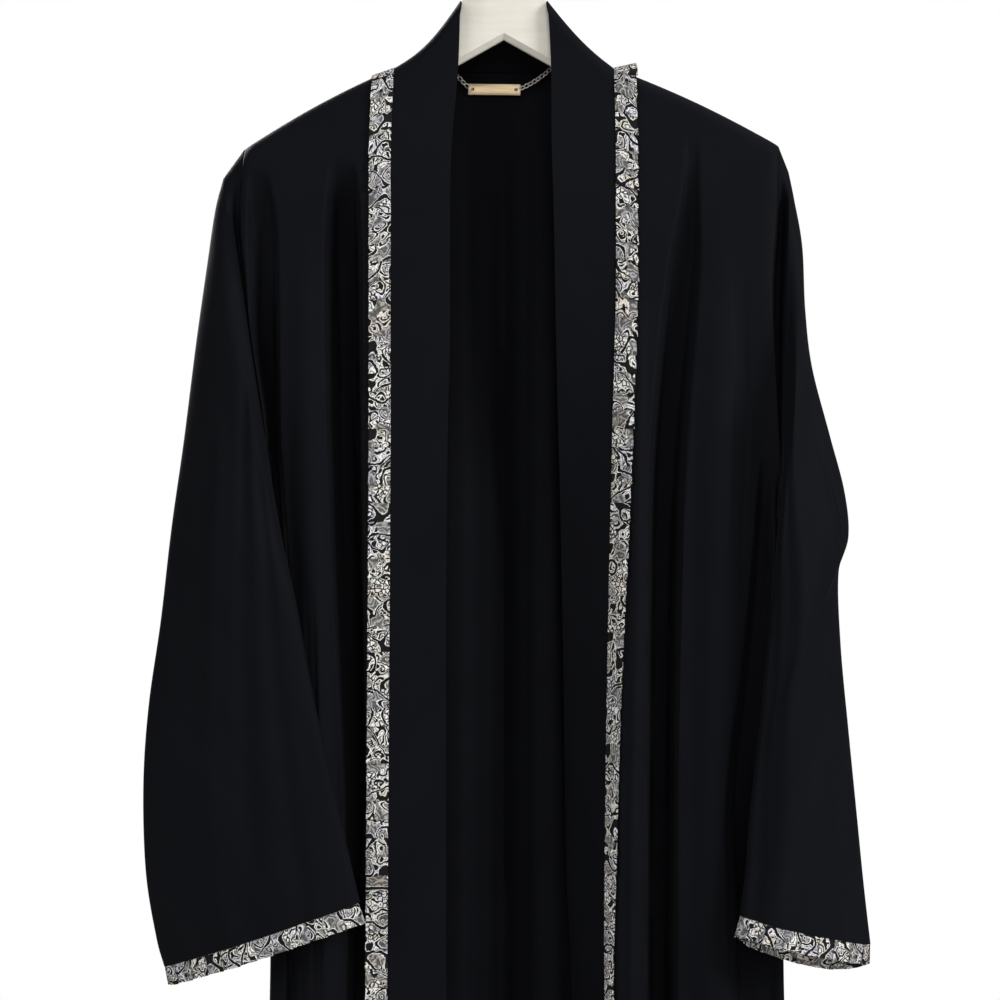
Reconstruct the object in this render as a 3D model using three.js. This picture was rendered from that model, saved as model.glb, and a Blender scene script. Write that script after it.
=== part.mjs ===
// An open-front abaya of black crepe, with pleated paisley trim, on a flat wooden hanger.
//
// Millimetres, +Z up. The garment's front faces -Y, its wearer's right side is -X, and the
// origin is the inside of the top of the hanger's hook, where a rail carries everything.
// Every cloth piece is a thin wall made from a grid of points on its outer face.
import * as THREE from 'three';

const SEAM = 0.3; // gap between pieces that are sewn together
const CLOTH = 2; // wall of the crepe panels
const TRIM_CLOTH = 1; // wall of the pleated trim at the foot of a pleat
const PLEAT_RISE = 1.7; // how far the top of a pleat stands over its foot
const PLEAT_PITCH = 20.5;
const TRIM_WIDTH = 16.5;
const CUFF_TRIM_WIDTH = 14.5;
const BAND_WIDTH = 49; // the band's width where it folds over the shoulder
const NECK_X = 82; // the neck seam meets the shoulder crest here
const NECK_Z = -147;
const SHOULDER_X = { right: 197, left: 208 };
const SHOULDER_Z = { right: -209, left: -206 };
const HEM_Z = -1552; // 1410 mm below the shoulder's neck end
const ROLL = 12; // size of the roll of cloth over the shoulder crest
const NECK_BOW = 26; // how far the back neck bows out behind the hanger

const lerp = (a, b, t) => a + (b - a) * t;
const clamp = (t) => Math.min(1, Math.max(0, t));
const smooth = (t) => clamp(t) ** 2 * (3 - 2 * clamp(t));
const rounded = (t) => Math.sqrt(1 - (1 - clamp(t)) ** 2);
const table = (names, ...rows) => rows.map(
  (row) => Object.fromEntries(names.map((name, i) => [name, row[i]])),
);

// Reads a named column of a table at a place on its key, with a smooth curve through the rows.
function read(rows, name, key, at) {
  const rising = rows[rows.length - 1][key] > rows[0][key] ? 1 : -1;
  if ((at - rows[0][key]) * rising <= 0) return rows[0][name];
  let i = 0;
  while (i < rows.length - 2 && (at - rows[i + 1][key]) * rising > 0) i += 1;
  const slope = (j) => {
    const a = rows[Math.max(0, j - 1)];
    const b = rows[Math.min(rows.length - 1, j + 1)];
    return (b[name] - a[name]) / (b[key] - a[key]);
  };
  const span = rows[i + 1][key] - rows[i][key];
  const t = (at - rows[i][key]) / span;
  if (t >= 1) return rows[i + 1][name];
  return (2 * t ** 3 - 3 * t ** 2 + 1) * rows[i][name] + (t ** 3 - 2 * t ** 2 + t) * span * slope(i)
    + (3 * t ** 2 - 2 * t ** 3) * rows[i + 1][name] + (t ** 3 - t ** 2) * span * slope(i + 1);
}

// A closed solid between an outer and an inner grid of points, [row][column]. With wrap the
// columns close on themselves, as round a sleeve.
function solid(outer, inner, wrap = false) {
  const rows = outer.length;
  const columns = outer[0].length;
  const points = [...outer.flat(), ...inner.flat()];
  const index = (side, i, j) => side * rows * columns + i * columns + (j % columns);
  const faces = [];
  const quad = (a, b, c, d) => faces.push(a, b, c, a, c, d);
  const across = wrap ? columns : columns - 1;
  for (let i = 0; i < rows - 1; i += 1) {
    for (let j = 0; j < across; j += 1) {
      quad(index(0, i, j), index(0, i + 1, j), index(0, i + 1, j + 1), index(0, i, j + 1));
      quad(index(1, i, j), index(1, i, j + 1), index(1, i + 1, j + 1), index(1, i + 1, j));
    }
    if (!wrap) {
      const last = columns - 1;
      quad(index(0, i, 0), index(1, i, 0), index(1, i + 1, 0), index(0, i + 1, 0));
      quad(index(0, i, last), index(0, i + 1, last), index(1, i + 1, last), index(1, i, last));
    }
  }
  for (let j = 0; j < across; j += 1) {
    const last = rows - 1;
    quad(index(0, 0, j), index(0, 0, j + 1), index(1, 0, j + 1), index(1, 0, j));
    quad(index(0, last, j), index(1, last, j), index(1, last, j + 1), index(0, last, j + 1));
  }
  let volume = 0;
  for (let i = 0; i < faces.length; i += 3) {
    const [a, b, c] = [0, 1, 2].map((k) => points[faces[i + k]]);
    volume += a.dot(new THREE.Vector3().crossVectors(b, c));
  }
  if (volume < 0) faces.reverse();
  const geometry = new THREE.BufferGeometry();
  geometry.setAttribute('position', new THREE.Float32BufferAttribute(points.flatMap((p) => p.toArray()), 3));
  geometry.setIndex(faces);
  geometry.computeVertexNormals();
  return geometry;
}

// The outward direction at each point of a grid, where turned is 1 or -1 for the way that the
// grid is laid out. flat(i, j) names the axes that a direction has no share of, as at an edge
// that lies beside another piece.
function normals(grid, turned, flat = () => '', wrap = false) {
  const rows = grid.length;
  const columns = grid[0].length;
  return grid.map((row, i) => row.map((_, j) => {
    const up = grid[Math.max(0, i - 1)][j];
    const down = grid[Math.min(rows - 1, i + 1)][j];
    const before = wrap ? row[(j + columns - 1) % columns] : row[Math.max(0, j - 1)];
    const after = wrap ? row[(j + 1) % columns] : row[Math.min(columns - 1, j + 1)];
    const along = new THREE.Vector3().subVectors(down, up);
    const across = new THREE.Vector3().subVectors(after, before);
    const out = across.cross(along).multiplyScalar(turned);
    for (const axis of flat(i, j)) out[axis] = 0;
    return out.normalize();
  }));
}

function moved(grid, directions, distance) {
  const far = typeof distance === 'number' ? () => distance : distance;
  return grid.map((row, i) => row.map((p, j) => p.clone().addScaledVector(directions[i][j], far(i, j))));
}

const vector = (x, y, z) => new THREE.Vector3(x, y, z);
const abaya = new THREE.Group();

function add(name, geometry, material) {
  const mesh = new THREE.Mesh(geometry, material);
  mesh.name = name;
  abaya.add(mesh);
  return mesh;
}

const finish = (color, roughness, metalness = 0) => new THREE.MeshStandardMaterial({ color, roughness, metalness });
const crepe = finish(0x111215, 0.82);
const paisley = finish(0xb4b2ab, 0.75);
const wood = finish(0xe4e0d6, 0.45);
const steel = finish(0xb8babd, 0.3, 1);
const gold = finish(0xd6be8c, 0.3, 1);
const silver = finish(0xc8bdb8, 0.3, 1);

// The two fronts. Heights go down from the neck; seam is the band seam, side is the armhole
// and below it the side seam, inner is the band's free edge, deep is how far the cloth stands
// in front of the hanger, and turn is how far the front edge turns back, in mm of depth.
const FRONT = {
  right: {
    sign: -1,
    rows: table(
      ['z', 'seam', 'side', 'inner', 'deep', 'turn'],
      [-97, 82, 197, 33, 13, 0],
      [-147, 83, 197, 34.5, 13, 0],
      [-209, 85, 197, 39.5, 18, 0],
      [-260, 85, 199, 40.5, 20, 0],
      [-344, 85, 191, 40.5, 22, 0],
      [-439, 85, 178, 42.5, 23, 0],
      [-600, 86, 178, 43.5, 23, 0],
      [-850, 87.5, 178, 43.5, 24, 0],
      [-1200, 90, 190, 45, 25, 0],
      [-1552, 93, 204, 47, 26, 0],
    ),
    arm: { z: -439, y: 14 },
  },
  left: {
    sign: 1,
    rows: table(
      ['z', 'seam', 'side', 'inner', 'deep', 'turn'],
      [-97, 82, 208, 33, 13, 0],
      [-147, 83, 208, 35.5, 13, 0],
      [-206, 84, 208, 36, 17, 0],
      [-260, 84, 206, 37.5, 20, 0],
      [-317, 84, 202, 38.5, 21, 1],
      [-400, 82, 205, 40.5, 22, 4],
      [-467, 80.5, 208, 42.5, 23, 7],
      [-600, 78, 210, 45.5, 24, 12],
      [-760, 76, 212, 48, 25, 14],
      [-850, 76, 213, 52, 26, 15],
      [-1200, 80, 221, 58, 27, 12],
      [-1552, 86, 232, 62, 28, 9],
    ),
    arm: { z: -467, y: 14 },
  },
};

// Folds of the fronts: each runs down the cloth, with its centre, half width and depth.
// A positive depth is a trough and a negative one a ridge.
const FOLD = ['z', 'x', 'half', 'deep'];
const FRONT_FOLDS = {
  right: [
    table(FOLD, [-235, 175, 8, 0], [-320, 175, 9, 6], [-440, 172, 10, 9], [-700, 168, 12, 7], [-1200, 172, 18, 7], [-1552, 176, 22, 8]),
    table(FOLD, [-225, 120, 12, 0], [-270, 119, 17, 8], [-400, 117, 16, 12], [-600, 113, 13, 12], [-850, 107, 9, 12], [-1200, 112, 14, 11], [-1552, 118, 17, 11]),
    table(FOLD, [-250, 150, 16, 0], [-420, 148, 17, -4], [-850, 138, 20, -6], [-1552, 148, 22, -8]),
    table(FOLD, [-700, 158, 8, 0], [-900, 156, 9, 4], [-1552, 160, 12, 6]),
  ],
  left: [
    table(FOLD, [-206, 140, 7, 0], [-250, 138, 10, 5], [-354, 131, 13, 9], [-441, 124, 13, 10], [-530, 121, 12, 11], [-851, 117, 12, 12], [-1200, 124, 15, 12], [-1552, 130, 18, 12]),
    table(FOLD, [-260, 165, 22, 0], [-440, 160, 24, -4], [-850, 160, 26, -5], [-1552, 172, 28, -7]),
    table(FOLD, [-560, 186, 9, 0], [-700, 184, 11, 5], [-1000, 186, 14, 6], [-1552, 198, 16, 7]),
    table(FOLD, [-300, 103, 8, 0], [-500, 101, 10, -3], [-850, 97, 10, -4], [-1552, 106, 14, -5]),
  ],
};
const BACK_FOLDS = [
  table(FOLD, [-165, 0, 10, 0], [-300, -1, 12, -5], [-490, 0, 13, -9], [-900, -2, 16, -10], [-1552, -6, 22, -11]),
  table(FOLD, [-165, 30, 10, 0], [-320, 31, 14, 6], [-600, 32, 16, 8], [-1552, 38, 24, 10]),
  table(FOLD, [-165, -36, 12, 0], [-320, -36, 16, 5], [-700, -38, 18, 7], [-1552, -46, 26, 9]),
  table(FOLD, [-240, 84, 16, 0], [-420, 82, 18, -7], [-900, 84, 22, -9], [-1552, 96, 26, -12]),
  table(FOLD, [-240, -80, 16, 0], [-420, -82, 18, -8], [-900, -84, 22, -9], [-1552, -92, 26, -11]),
  table(FOLD, [-230, 130, 14, 0], [-420, 126, 18, 7], [-900, 130, 20, 9], [-1552, 142, 26, 12]),
  table(FOLD, [-230, -128, 14, 0], [-420, -124, 16, 8], [-900, -122, 20, 9], [-1552, -134, 24, 11]),
  table(FOLD, [-460, 168, 14, 0], [-700, 170, 18, -5], [-1552, 186, 24, -8]),
  table(FOLD, [-460, -154, 12, 0], [-700, -154, 14, -4], [-1552, -170, 20, -7]),
];

function folded(folds, x, z) {
  let total = 0;
  for (const fold of folds) {
    const away = (x - read(fold, 'x', 'z', z)) / read(fold, 'half', 'z', z);
    if (Math.abs(away) < 1) total += read(fold, 'deep', 'z', z) * Math.cos((away * Math.PI) / 2) ** 2;
  }
  return total;
}

// The height of the shoulder crest at a distance from the middle. The front slopes at 45
// degrees beside the neck, where the band folds over, and less steeply to the armhole.
function crest(side, x) {
  const end = SHOULDER_X[side];
  if (x < NECK_X) return NECK_Z + (NECK_X - x);
  return lerp(NECK_Z, SHOULDER_Z[side], (x - NECK_X) / (end - NECK_X)) + 3 * Math.sin((Math.PI * (x - NECK_X)) / (end - NECK_X));
}

// The armhole edge from the shoulder, t = 0, to the underarm, t = 1: its height and how far
// it stands in front and behind. The underarm lies forward, because the sleeve hangs there.
const ARM_HALF = 17; // half the depth of the armhole in its middle
const TOP_HALF = 13; // and near the shoulder, where it passes over the hanger

function armhole(side, t) {
  const { rows, arm } = FRONT[side];
  const z = lerp(SHOULDER_Z[side], arm.z, t);
  const forward = arm.y * t ** 2;
  const half = lerp(TOP_HALF, ARM_HALF, smooth(t / 0.4)) * rounded(t / 0.09) * rounded((1 - t) / 0.16);
  return { x: read(rows, 'side', 'z', z), z, front: forward + half, back: half - forward };
}

// How far the side seam stands forward below the underarm.
function sideForward(side, z) {
  const { arm } = FRONT[side];
  return arm.y * (1 - clamp((arm.z - z) / 170)) ** 3;
}

// Width over which a panel rounds into its side: narrow at the shoulder, so that the cloth
// clears the end of the hanger.
const sideRound = (side, z, wide) => lerp(8, wide, smooth((SHOULDER_Z[side] - z) / 70));

function sideDepth(side, z, face) {
  const { arm } = FRONT[side];
  if (z < arm.z) return face === 'front' ? sideForward(side, z) : -sideForward(side, z);
  return armhole(side, clamp((SHOULDER_Z[side] - z) / (SHOULDER_Z[side] - arm.z)))[face];
}

function frontDepth(side, x, z) {
  const { rows } = FRONT[side];
  const seam = read(rows, 'seam', 'z', z);
  const flat = read(rows, 'deep', 'z', z) - folded(FRONT_FOLDS[side], x, z);
  const turned = read(rows, 'turn', 'z', z) * clamp(1 - (x - seam) / 12) ** 1.5;
  const edge = sideDepth(side, z, 'front');
  return lerp(edge, flat - turned, rounded((read(rows, 'side', 'z', z) - x) / sideRound(side, z, 24)));
}

// Rows of a panel's column: the roll over the crest, then those beside the armhole, which
// close up at the underarm, and those of the skirt down to the hem.
const ROLL_STEPS = [0, 22.5, 45, 67.5, 90];
const ARM_STEPS = [0.03, 0.11, 0.21, 0.33, 0.46, 0.6, 0.74, 0.85, 0.93, 0.98, 1];
const SKIRT_STEPS = [0.008, 0.03, 0.075, 0.14, 0.22, 0.31, 0.41, 0.52, 0.64, 0.76, 0.88, 1];
const UNDERARM_ROW = ROLL_STEPS.length + ARM_STEPS.length - 1;

function columnRows(top, underarm) {
  const rolls = ROLL_STEPS.map((angle) => {
    const a = THREE.MathUtils.degToRad(angle);
    return { z: top - ROLL * (1 - Math.cos(a)), roll: Math.sin(a) };
  });
  const start = top - ROLL;
  return [
    ...rolls,
    ...ARM_STEPS.map((t) => ({ z: lerp(start, underarm, t), roll: 1 })),
    ...SKIRT_STEPS.map((t) => ({ z: lerp(underarm, HEM_Z, t), roll: 1 })),
  ];
}

const transposed = (columnList) => columnList[0].map((_, i) => columnList.map((column) => column[i]));
const FRONT_SHARES = [0.1, 0.22, 0.34, 0.46, 0.57, 0.68, 0.78, 0.86, 0.93, 0.975, 1];
const BAND_SHARES = [1, 0.7, 0.35, 0];

// The cloth of one front as a single grid: the band from its free edge to the seam, then the
// front from the seam to the side. The band folds over the hanger's neck along a 45 degree line.
function frontCloth(side) {
  const { sign, rows, arm } = FRONT[side];
  const band = BAND_SHARES.map((share) => columnRows(crest(side, NECK_X - BAND_WIDTH * share), arm.z)
    .map(({ z, roll }) => {
      const x = lerp(read(rows, 'seam', 'z', z), read(rows, 'inner', 'z', z), share);
      const back = read(rows, 'turn', 'z', z) * (1 + 2 * share);
      return vector(sign * x, -(SEAM / 2) - roll * (read(rows, 'deep', 'z', z) - back), z);
    }));
  const places = [{ away: TRIM_WIDTH / 2, share: 0 }, { away: TRIM_WIDTH, share: 0 }];
  FRONT_SHARES.forEach((share) => places.push({ away: TRIM_WIDTH, share }));
  const front = places.map(({ away, share }) => {
    const topX = lerp(NECK_X + away, SHOULDER_X[side], share);
    return columnRows(crest(side, topX), arm.z).map(({ z, roll }) => {
      const turned = Math.min(0.9, read(rows, 'turn', 'z', z) / TRIM_WIDTH);
      const start = read(rows, 'seam', 'z', z) + away * Math.sqrt(1 - turned ** 2);
      const edge = read(rows, 'side', 'z', z);
      const x = lerp(start, edge, share);
      return vector(sign * Math.min(x, edge - SEAM / 2), -(SEAM / 2) - roll * frontDepth(side, x, z), z);
    });
  });
  const grid = transposed([...band, ...front]);
  const last = grid[0].length - 1;
  const flat = (i, j) => (i === 0 ? 'y' : '') + (j === last ? (i < UNDERARM_ROW ? 'x' : 'yz') : '');
  return { grid, out: normals(grid, -sign, flat) };
}

// Cuts a grid at a column, with half the seam gap left on this side of it.
function cutAt({ grid, out }, column, keepAfter) {
  const cut = grid.map((row) => {
    const kept = keepAfter ? row.slice(column) : row.slice(0, column + 1);
    const edge = keepAfter ? 0 : kept.length - 1;
    const next = keepAfter ? kept[1] : kept[kept.length - 2];
    const step = new THREE.Vector3().subVectors(next, kept[edge]).setLength(SEAM / 2);
    return kept.map((p, j) => (j === edge ? p.clone().add(step) : p));
  });
  return { grid: cut, out: out.map((row) => (keepAfter ? row.slice(column) : row.slice(0, column + 1))) };
}

const wall = ({ grid, out }, thickness = CLOTH) => solid(grid, moved(grid, out, -thickness));

// The back. Its neck edge bows out behind the hanger between the two crests.
function backDepth(x, z) {
  const side = x < 0 ? 'right' : 'left';
  const away = Math.abs(x);
  const bow = NECK_BOW * clamp(1 - (away / 150) ** 2) * (1 - 0.25 * smooth((NECK_Z - z) / 300));
  const base = lerp(ROLL + 2 + bow, 34, smooth((NECK_Z - z) / 420));
  const flat = base - folded(BACK_FOLDS, x, z);
  const edge = sideDepth(side, z, 'back');
  return lerp(edge, flat, rounded((read(FRONT[side].rows, 'side', 'z', z) - away) / sideRound(side, z, 36)));
}

const seamHeight = (x) => NECK_Z + 5.5 * clamp(1 - (x / NECK_X) ** 2);
const NECK_SHARES = [1, 0.985, 0.93, 0.8, 0.55, 0.28, 0];
const BACK_SHARES = [0, 0.15, 0.34, 0.52, 0.7, 0.85, 0.95, 1];

function backCloth() {
  const half = [
    ...BACK_SHARES.slice(1).reverse().map((share) => ({ neck: 1, share })),
    ...NECK_SHARES.map((neck) => ({ neck, share: 0 })),
  ];
  const places = [
    ...half.map((place) => ({ ...place, side: 'right' })),
    ...half.slice(0, -1).reverse().map((place) => ({ ...place, side: 'left' })),
  ];
  const grid = transposed(places.map(({ side, neck, share }) => {
    const { sign, rows, arm } = FRONT[side];
    const end = SHOULDER_X[side];
    const topX = lerp(NECK_X * neck, end, share);
    const onNeck = neck < 1;
    const fromCrest = onNeck ? (NECK_X - topX) / ROLL : 0;
    return columnRows(onNeck ? seamHeight(topX) : crest(side, topX), arm.z).map(({ z, roll }) => {
      const edge = read(rows, 'side', 'z', z);
      const x = lerp((NECK_X * neck * edge) / end, edge, share);
      const gap = share === 1 ? 2.5 * SEAM : SEAM / 2; // the walls turn sharply at the side seam
      const y = gap + Math.max(roll, rounded(fromCrest)) * backDepth(sign * x, z);
      return vector(sign * Math.min(x, edge - SEAM / 2), y, z);
    });
  }));
  const last = grid[0].length - 1;
  const flat = (i, j) => {
    const onNeck = places[j].neck < 1;
    if (j === 0 || j === last) return (i === 0 ? 'y' : '') + (i < UNDERARM_ROW ? 'x' : 'yz');
    return i === 0 ? (onNeck ? 'z' : 'y') : '';
  };
  return { grid, out: normals(grid, 1, flat) };
}

// The back neck band: the same strip after its fold, running level behind the hanger. Its
// seam edge follows the back's neck edge and its top edge leans in towards the hook.
function neckBandGrid(backTop) {
  return [0, 0.35, 0.7, 1].map((share) => backTop.map((p) => {
    const width = (NECK_X - BAND_WIDTH * share) / NECK_X;
    const x = p.x * width;
    const seamY = p.y;
    const over = rounded((NECK_X - Math.abs(p.x)) * width / ROLL);
    const topBow = NECK_BOW * width ** 1.2 * clamp(1 - (p.x / NECK_X) ** 2);
    const y = lerp(seamY, SEAM / 2 + over * (ROLL + 1) + topBow, smooth(share * 3));
    const rise = BAND_WIDTH * share * (1 - 0.02 * share);
    return vector(x, y, p.z + SEAM + rise);
  }));
}

// A knife-pleated strip laid on a track of points: each has three points across the strip
// from its seam to its free edge, and the outward direction. Pleats climb to PLEAT_RISE and
// drop back. lift(s) is how far the free edge stands off the cloth at s along the strip.
const STRIP_ACROSS = [0, 0.5, 1];
const PLEAT_FOOT = 0.9; // share of a pleat's length where it comes down to its foot

function pleatedStrip(track, lift) {
  const length = [0];
  for (let i = 1; i < track.length; i += 1) {
    length.push(length[i - 1] + track[i].points[1].distanceTo(track[i - 1].points[1]));
  }
  const total = length[length.length - 1];
  const pitch = total / Math.round(total / PLEAT_PITCH);
  const stations = length.map((s) => s);
  for (let s = 0; s < total - 1; s += pitch) stations.push(s, s + pitch * PLEAT_FOOT);
  stations.sort((a, b) => a - b);
  const kept = stations.filter((s, k) => k === 0 || s - stations[k - 1] > 0.05);
  const outer = [];
  const inner = [];
  for (const s of kept) {
    let i = 0;
    while (i < length.length - 2 && length[i + 1] < s) i += 1;
    const t = clamp((s - length[i]) / (length[i + 1] - length[i]));
    const out = track[i].out.clone().lerp(track[i + 1].out, t).normalize();
    const share = (s / pitch) % 1;
    const rise = PLEAT_RISE * (share < PLEAT_FOOT ? 1 - share / PLEAT_FOOT : (share - PLEAT_FOOT) / (1 - PLEAT_FOOT));
    const points = track[i].points.map((p, k) => p.clone().lerp(track[i + 1].points[k], t));
    const under = (k) => SEAM + STRIP_ACROSS[k] * (0.15 + lift(s));
    inner.push(points.map((p, k) => p.clone().addScaledVector(out, under(k))));
    outer.push(points.map((p, k) => p.clone().addScaledVector(out, under(k) + TRIM_CLOTH + rise * (0.3 + 0.7 * STRIP_ACROSS[k]))));
  }
  return solid(outer, inner);
}

// Sleeves. Each row is a section of the tube: the place and depth of its outer and inner
// edges, half its thickness, and how far its back edge hangs below its front edge.
const SECTION = ['outX', 'outZ', 'outY', 'inX', 'inZ', 'inY', 'half', 'tip'];
const SLEEVES = {
  right: table(
    SECTION,
    [-213, -231, 0, -178, -452, -21, 18, 0],
    [-219, -255, -1, -175, -466, -24, 18, 0],
    [-225, -297, -3, -171, -483, -29, 17, 0],
    [-233, -356, -6, -164, -512, -34, 15, 0],
    [-242, -430, -9, -155, -549, -42, 12, 0],
    [-251, -496, -12, -147, -592, -44, 11, 0],
    [-259, -566, -13, -137, -642, -44, 11, 0],
    [-268, -630, -14, -126, -692, -44, 11, 0],
    [-272, -690, -14, -116, -735, -44, 11, 0],
    [-270, -755, -15, -109, -765, -44, 11, 0],
    [-262, -804, -16, -108, -775, -44, 11, 0],
    [-256, -826, -16, -107, -779, -44, 11, 0],
  ),
  left: table(
    SECTION,
    [216, -226, 0, 210, -478, -24, 16, 0],
    [220, -246, -1, 208.5, -490, -31, 15, 0],
    [226, -282, -3, 205.5, -508, -36, 14, 0],
    [228, -330, -5, 202, -536, -37, 15, 0],
    [233, -374, -7, 199, -560, -39, 13, 0],
    [246, -425, -9, 196, -586, -41, 12, 0],
    [257, -468, -11, 193, -612, -41, 12, 0],
    [260, -502, -12, 191, -636, -41, 12, 1],
    [252.5, -530, -12, 188, -662, -41, 12, 2],
    [254, -585, -13, 185, -688, -41, 12, 4],
    [260, -650, -13, 182, -716, -41, 12, 6],
    [266, -712, -14, 180, -745, -41, 12, 9],
    [271, -764, -15, 177, -770, -41, 13, 12],
    [276, -809, -16, 175, -786, -42, 15, 16],
  ),
};
const SLEEVE_FOLDS = {
  right: table(['from', 'to', 'start', 'end', 'half', 'deep'], [0.62, 0.5, 0.12, 0.75, 0.1, 3], [0.3, 0.36, 0.3, 1, 0.1, -2.5], [0.8, 0.72, 0.2, 1, 0.09, 2.5]),
  left: table(['from', 'to', 'start', 'end', 'half', 'deep'], [0.5, 0.42, 0.15, 0.8, 0.12, -3], [0.78, 0.7, 0.25, 1, 0.1, 3], [0.22, 0.25, 0.4, 1, 0.1, 2.5]),
};
const RING_POINTS = 24;

// A section's point at an angle: 0 is the outer edge, half a turn the inner edge, and the
// front comes first. The faces are nearly flat and round off at the edges.
function sectionPoint(row, side, along, angle) {
  const across = (1 - Math.cos(angle)) / 2;
  const face = Math.sin(angle) >= 0 ? -1 : 1;
  const thick = row.half * Math.abs(Math.sin(angle)) ** 0.7;
  let folds = 0;
  for (const fold of SLEEVE_FOLDS[side]) {
    const away = (across - lerp(fold.from, fold.to, along)) / fold.half;
    const strength = smooth((along - fold.start) / 0.15) * smooth((fold.end + 0.15 - along) / 0.15);
    if (Math.abs(away) < 1) folds += fold.deep * strength * Math.cos((away * Math.PI) / 2) ** 2;
  }
  const backShare = face > 0 ? Math.sin(angle) ** 2 : 0;
  const forward = 1 - (1 - across) ** 2.5; // the tube lies forward wherever it covers the front
  return vector(
    lerp(row.outX, row.inX, across),
    lerp(row.outY, row.inY, forward) + face * (thick - folds * Math.abs(Math.sin(angle))),
    lerp(row.outZ, row.inZ, across) - row.tip * backShare,
  );
}

const ringAngles = Array.from({ length: RING_POINTS }, (_, j) => (2 * Math.PI * j) / RING_POINTS);

function armholeRing(side) {
  const { sign } = FRONT[side];
  return ringAngles.map((angle) => {
    const edge = armhole(side, (1 - Math.cos(angle)) / 2);
    const y = Math.sin(angle) >= -1e-9 ? -edge.front : edge.back;
    return vector(sign * (edge.x + SEAM / 2), y, edge.z);
  });
}

function sleeveGrid(side) {
  const rows = SLEEVES[side];
  const rings = rows.map((row, k) => ringAngles.map((angle) => sectionPoint(row, side, (k + 1) / rows.length, angle)));
  return [armholeRing(side), ...rings];
}

function sleeveWall(side) {
  const grid = sleeveGrid(side);
  const flat = (i) => ({ 0: 'x', [grid.length - 1]: 'z' }[i] ?? '');
  return solid(grid, moved(grid, normals(grid, FRONT[side].sign, flat, true), -CLOTH), true);
}

// A cuff's trim: a pleated ring that carries on from the end of the sleeve.
const CUFF_PLEATS = 16;

function cuffTrim(side) {
  const rows = SLEEVES[side];
  const last = rows[rows.length - 1];
  const outer = [[], [], []];
  const inner = [[], [], []];
  const middle = vector(lerp(last.outX, last.inX, 0.5), lerp(last.outY, last.inY, 0.5), 0);
  for (let k = 0; k < CUFF_PLEATS; k += 1) {
    for (const [share, rise] of [[0.02, PLEAT_RISE], [0.92, 0]]) {
      const base = sectionPoint(last, side, 1, (2 * Math.PI * (k + share)) / CUFF_PLEATS);
      const out = vector((base.x - middle.x) * 0.12, base.y - lerp(last.outY, last.inY, clamp((base.x - last.outX) / (last.inX - last.outX))), 0).normalize();
      [0, 0.5, 1].forEach((down, n) => {
        const p = base.clone().add(vector(0, 0, -2 * SEAM - down * CUFF_TRIM_WIDTH));
        outer[n].push(p.clone().addScaledVector(out, rise * (0.35 + 0.65 * down)));
        inner[n].push(p.clone().addScaledVector(out, -TRIM_CLOTH - 0.3));
      });
    }
  }
  return solid(outer, inner, true);
}

const BAND_SEAM = BAND_SHARES.length - 1;
const CREST_LIFT = { right: 3.5, left: 9 }; // how far the trims stand off at the shoulder
const CREST_REACH = 28; // and how far down they do so

for (const side of ['right', 'left']) {
  const cloth = frontCloth(side);
  const front = cutAt(cloth, BAND_SEAM, true);
  add(`front_${side}`, wall(front), crepe);
  add(`band_${side}`, wall(cutAt(cloth, BAND_SEAM, false)), crepe);
  add(`sleeve_${side}`, sleeveWall(side), crepe);
  add(`cuff_trim_${side}`, cuffTrim(side), paisley);
  const track = front.grid.map((row, i) => ({ points: row.slice(0, 3), out: front.out[i][1] }));
  add(`trim_${side}`, pleatedStrip(track, (s) => CREST_LIFT[side] * smooth(1 - s / CREST_REACH)), paisley);
}

const back = backCloth();
add('back', wall(back), crepe);
const firstNeck = BACK_SHARES.length - 1;
const neckBand = neckBandGrid(back.grid[0].slice(firstNeck, firstNeck + 2 * NECK_SHARES.length - 1));
const neckFlat = (i, j) => (i === 0 ? 'z' : '') + (j === 0 || j === neckBand[0].length - 1 ? 'y' : '');
add('band_neck', wall({ grid: neckBand, out: normals(neckBand, -1, neckFlat) }), crepe);

// The trim round the back neck turns from the crest down behind the neck seam and up again.
const NECK_TRIM_STEPS = 36;

function neckTrimTrack() {
  const track = [];
  for (let k = 0; k <= NECK_TRIM_STEPS; k += 1) {
    const t = (2 * k) / NECK_TRIM_STEPS - 1;
    const sign = t < 0 ? -1 : 1;
    const x = NECK_X * sign * Math.abs(t) ** 0.8;
    const turn = smooth((Math.abs(x) - (NECK_X - 30)) / 30) * (Math.PI / 2) * 0.72;
    const points = STRIP_ACROSS.map((share) => {
      const px = x + sign * share * TRIM_WIDTH * Math.sin(turn);
      const drop = 0.8 + share * TRIM_WIDTH * Math.cos(turn);
      const side = sign < 0 ? 'right' : 'left';
      const top = Math.abs(px) < NECK_X ? seamHeight(px) : crest(side, Math.abs(px));
      const z = top - drop * 0.9;
      const over = Math.max(rounded((NECK_X - Math.abs(px)) / ROLL), rounded((top - z) / ROLL));
      const open = Math.abs(px) >= NECK_X ? rounded((top - z) / ROLL) : over;
      return vector(px, SEAM / 2 + open * backDepth(px, z), z);
    });
    const across = new THREE.Vector3().subVectors(points[2], points[0]);
    track.push({ points, across });
  }
  track.forEach((item, k) => {
    const next = track[Math.min(NECK_TRIM_STEPS, k + 1)].points[1];
    const before = track[Math.max(0, k - 1)].points[1];
    const out = new THREE.Vector3().subVectors(next, before).cross(item.across).normalize();
    item.out = out.y < 0 ? out.negate() : out;
  });
  return track;
}

add('trim_neck', pleatedStrip(neckTrimTrack(), () => 1.8), paisley);

// The hanger: two flat arms of wood, mitred in the middle, and a plain wire hook.
const HANGER = { thick: 12, bevel: 2.5, topZ: -77, topX: 12, underZ: -125.5, tipX: 205, tipLow: -240 };

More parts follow.
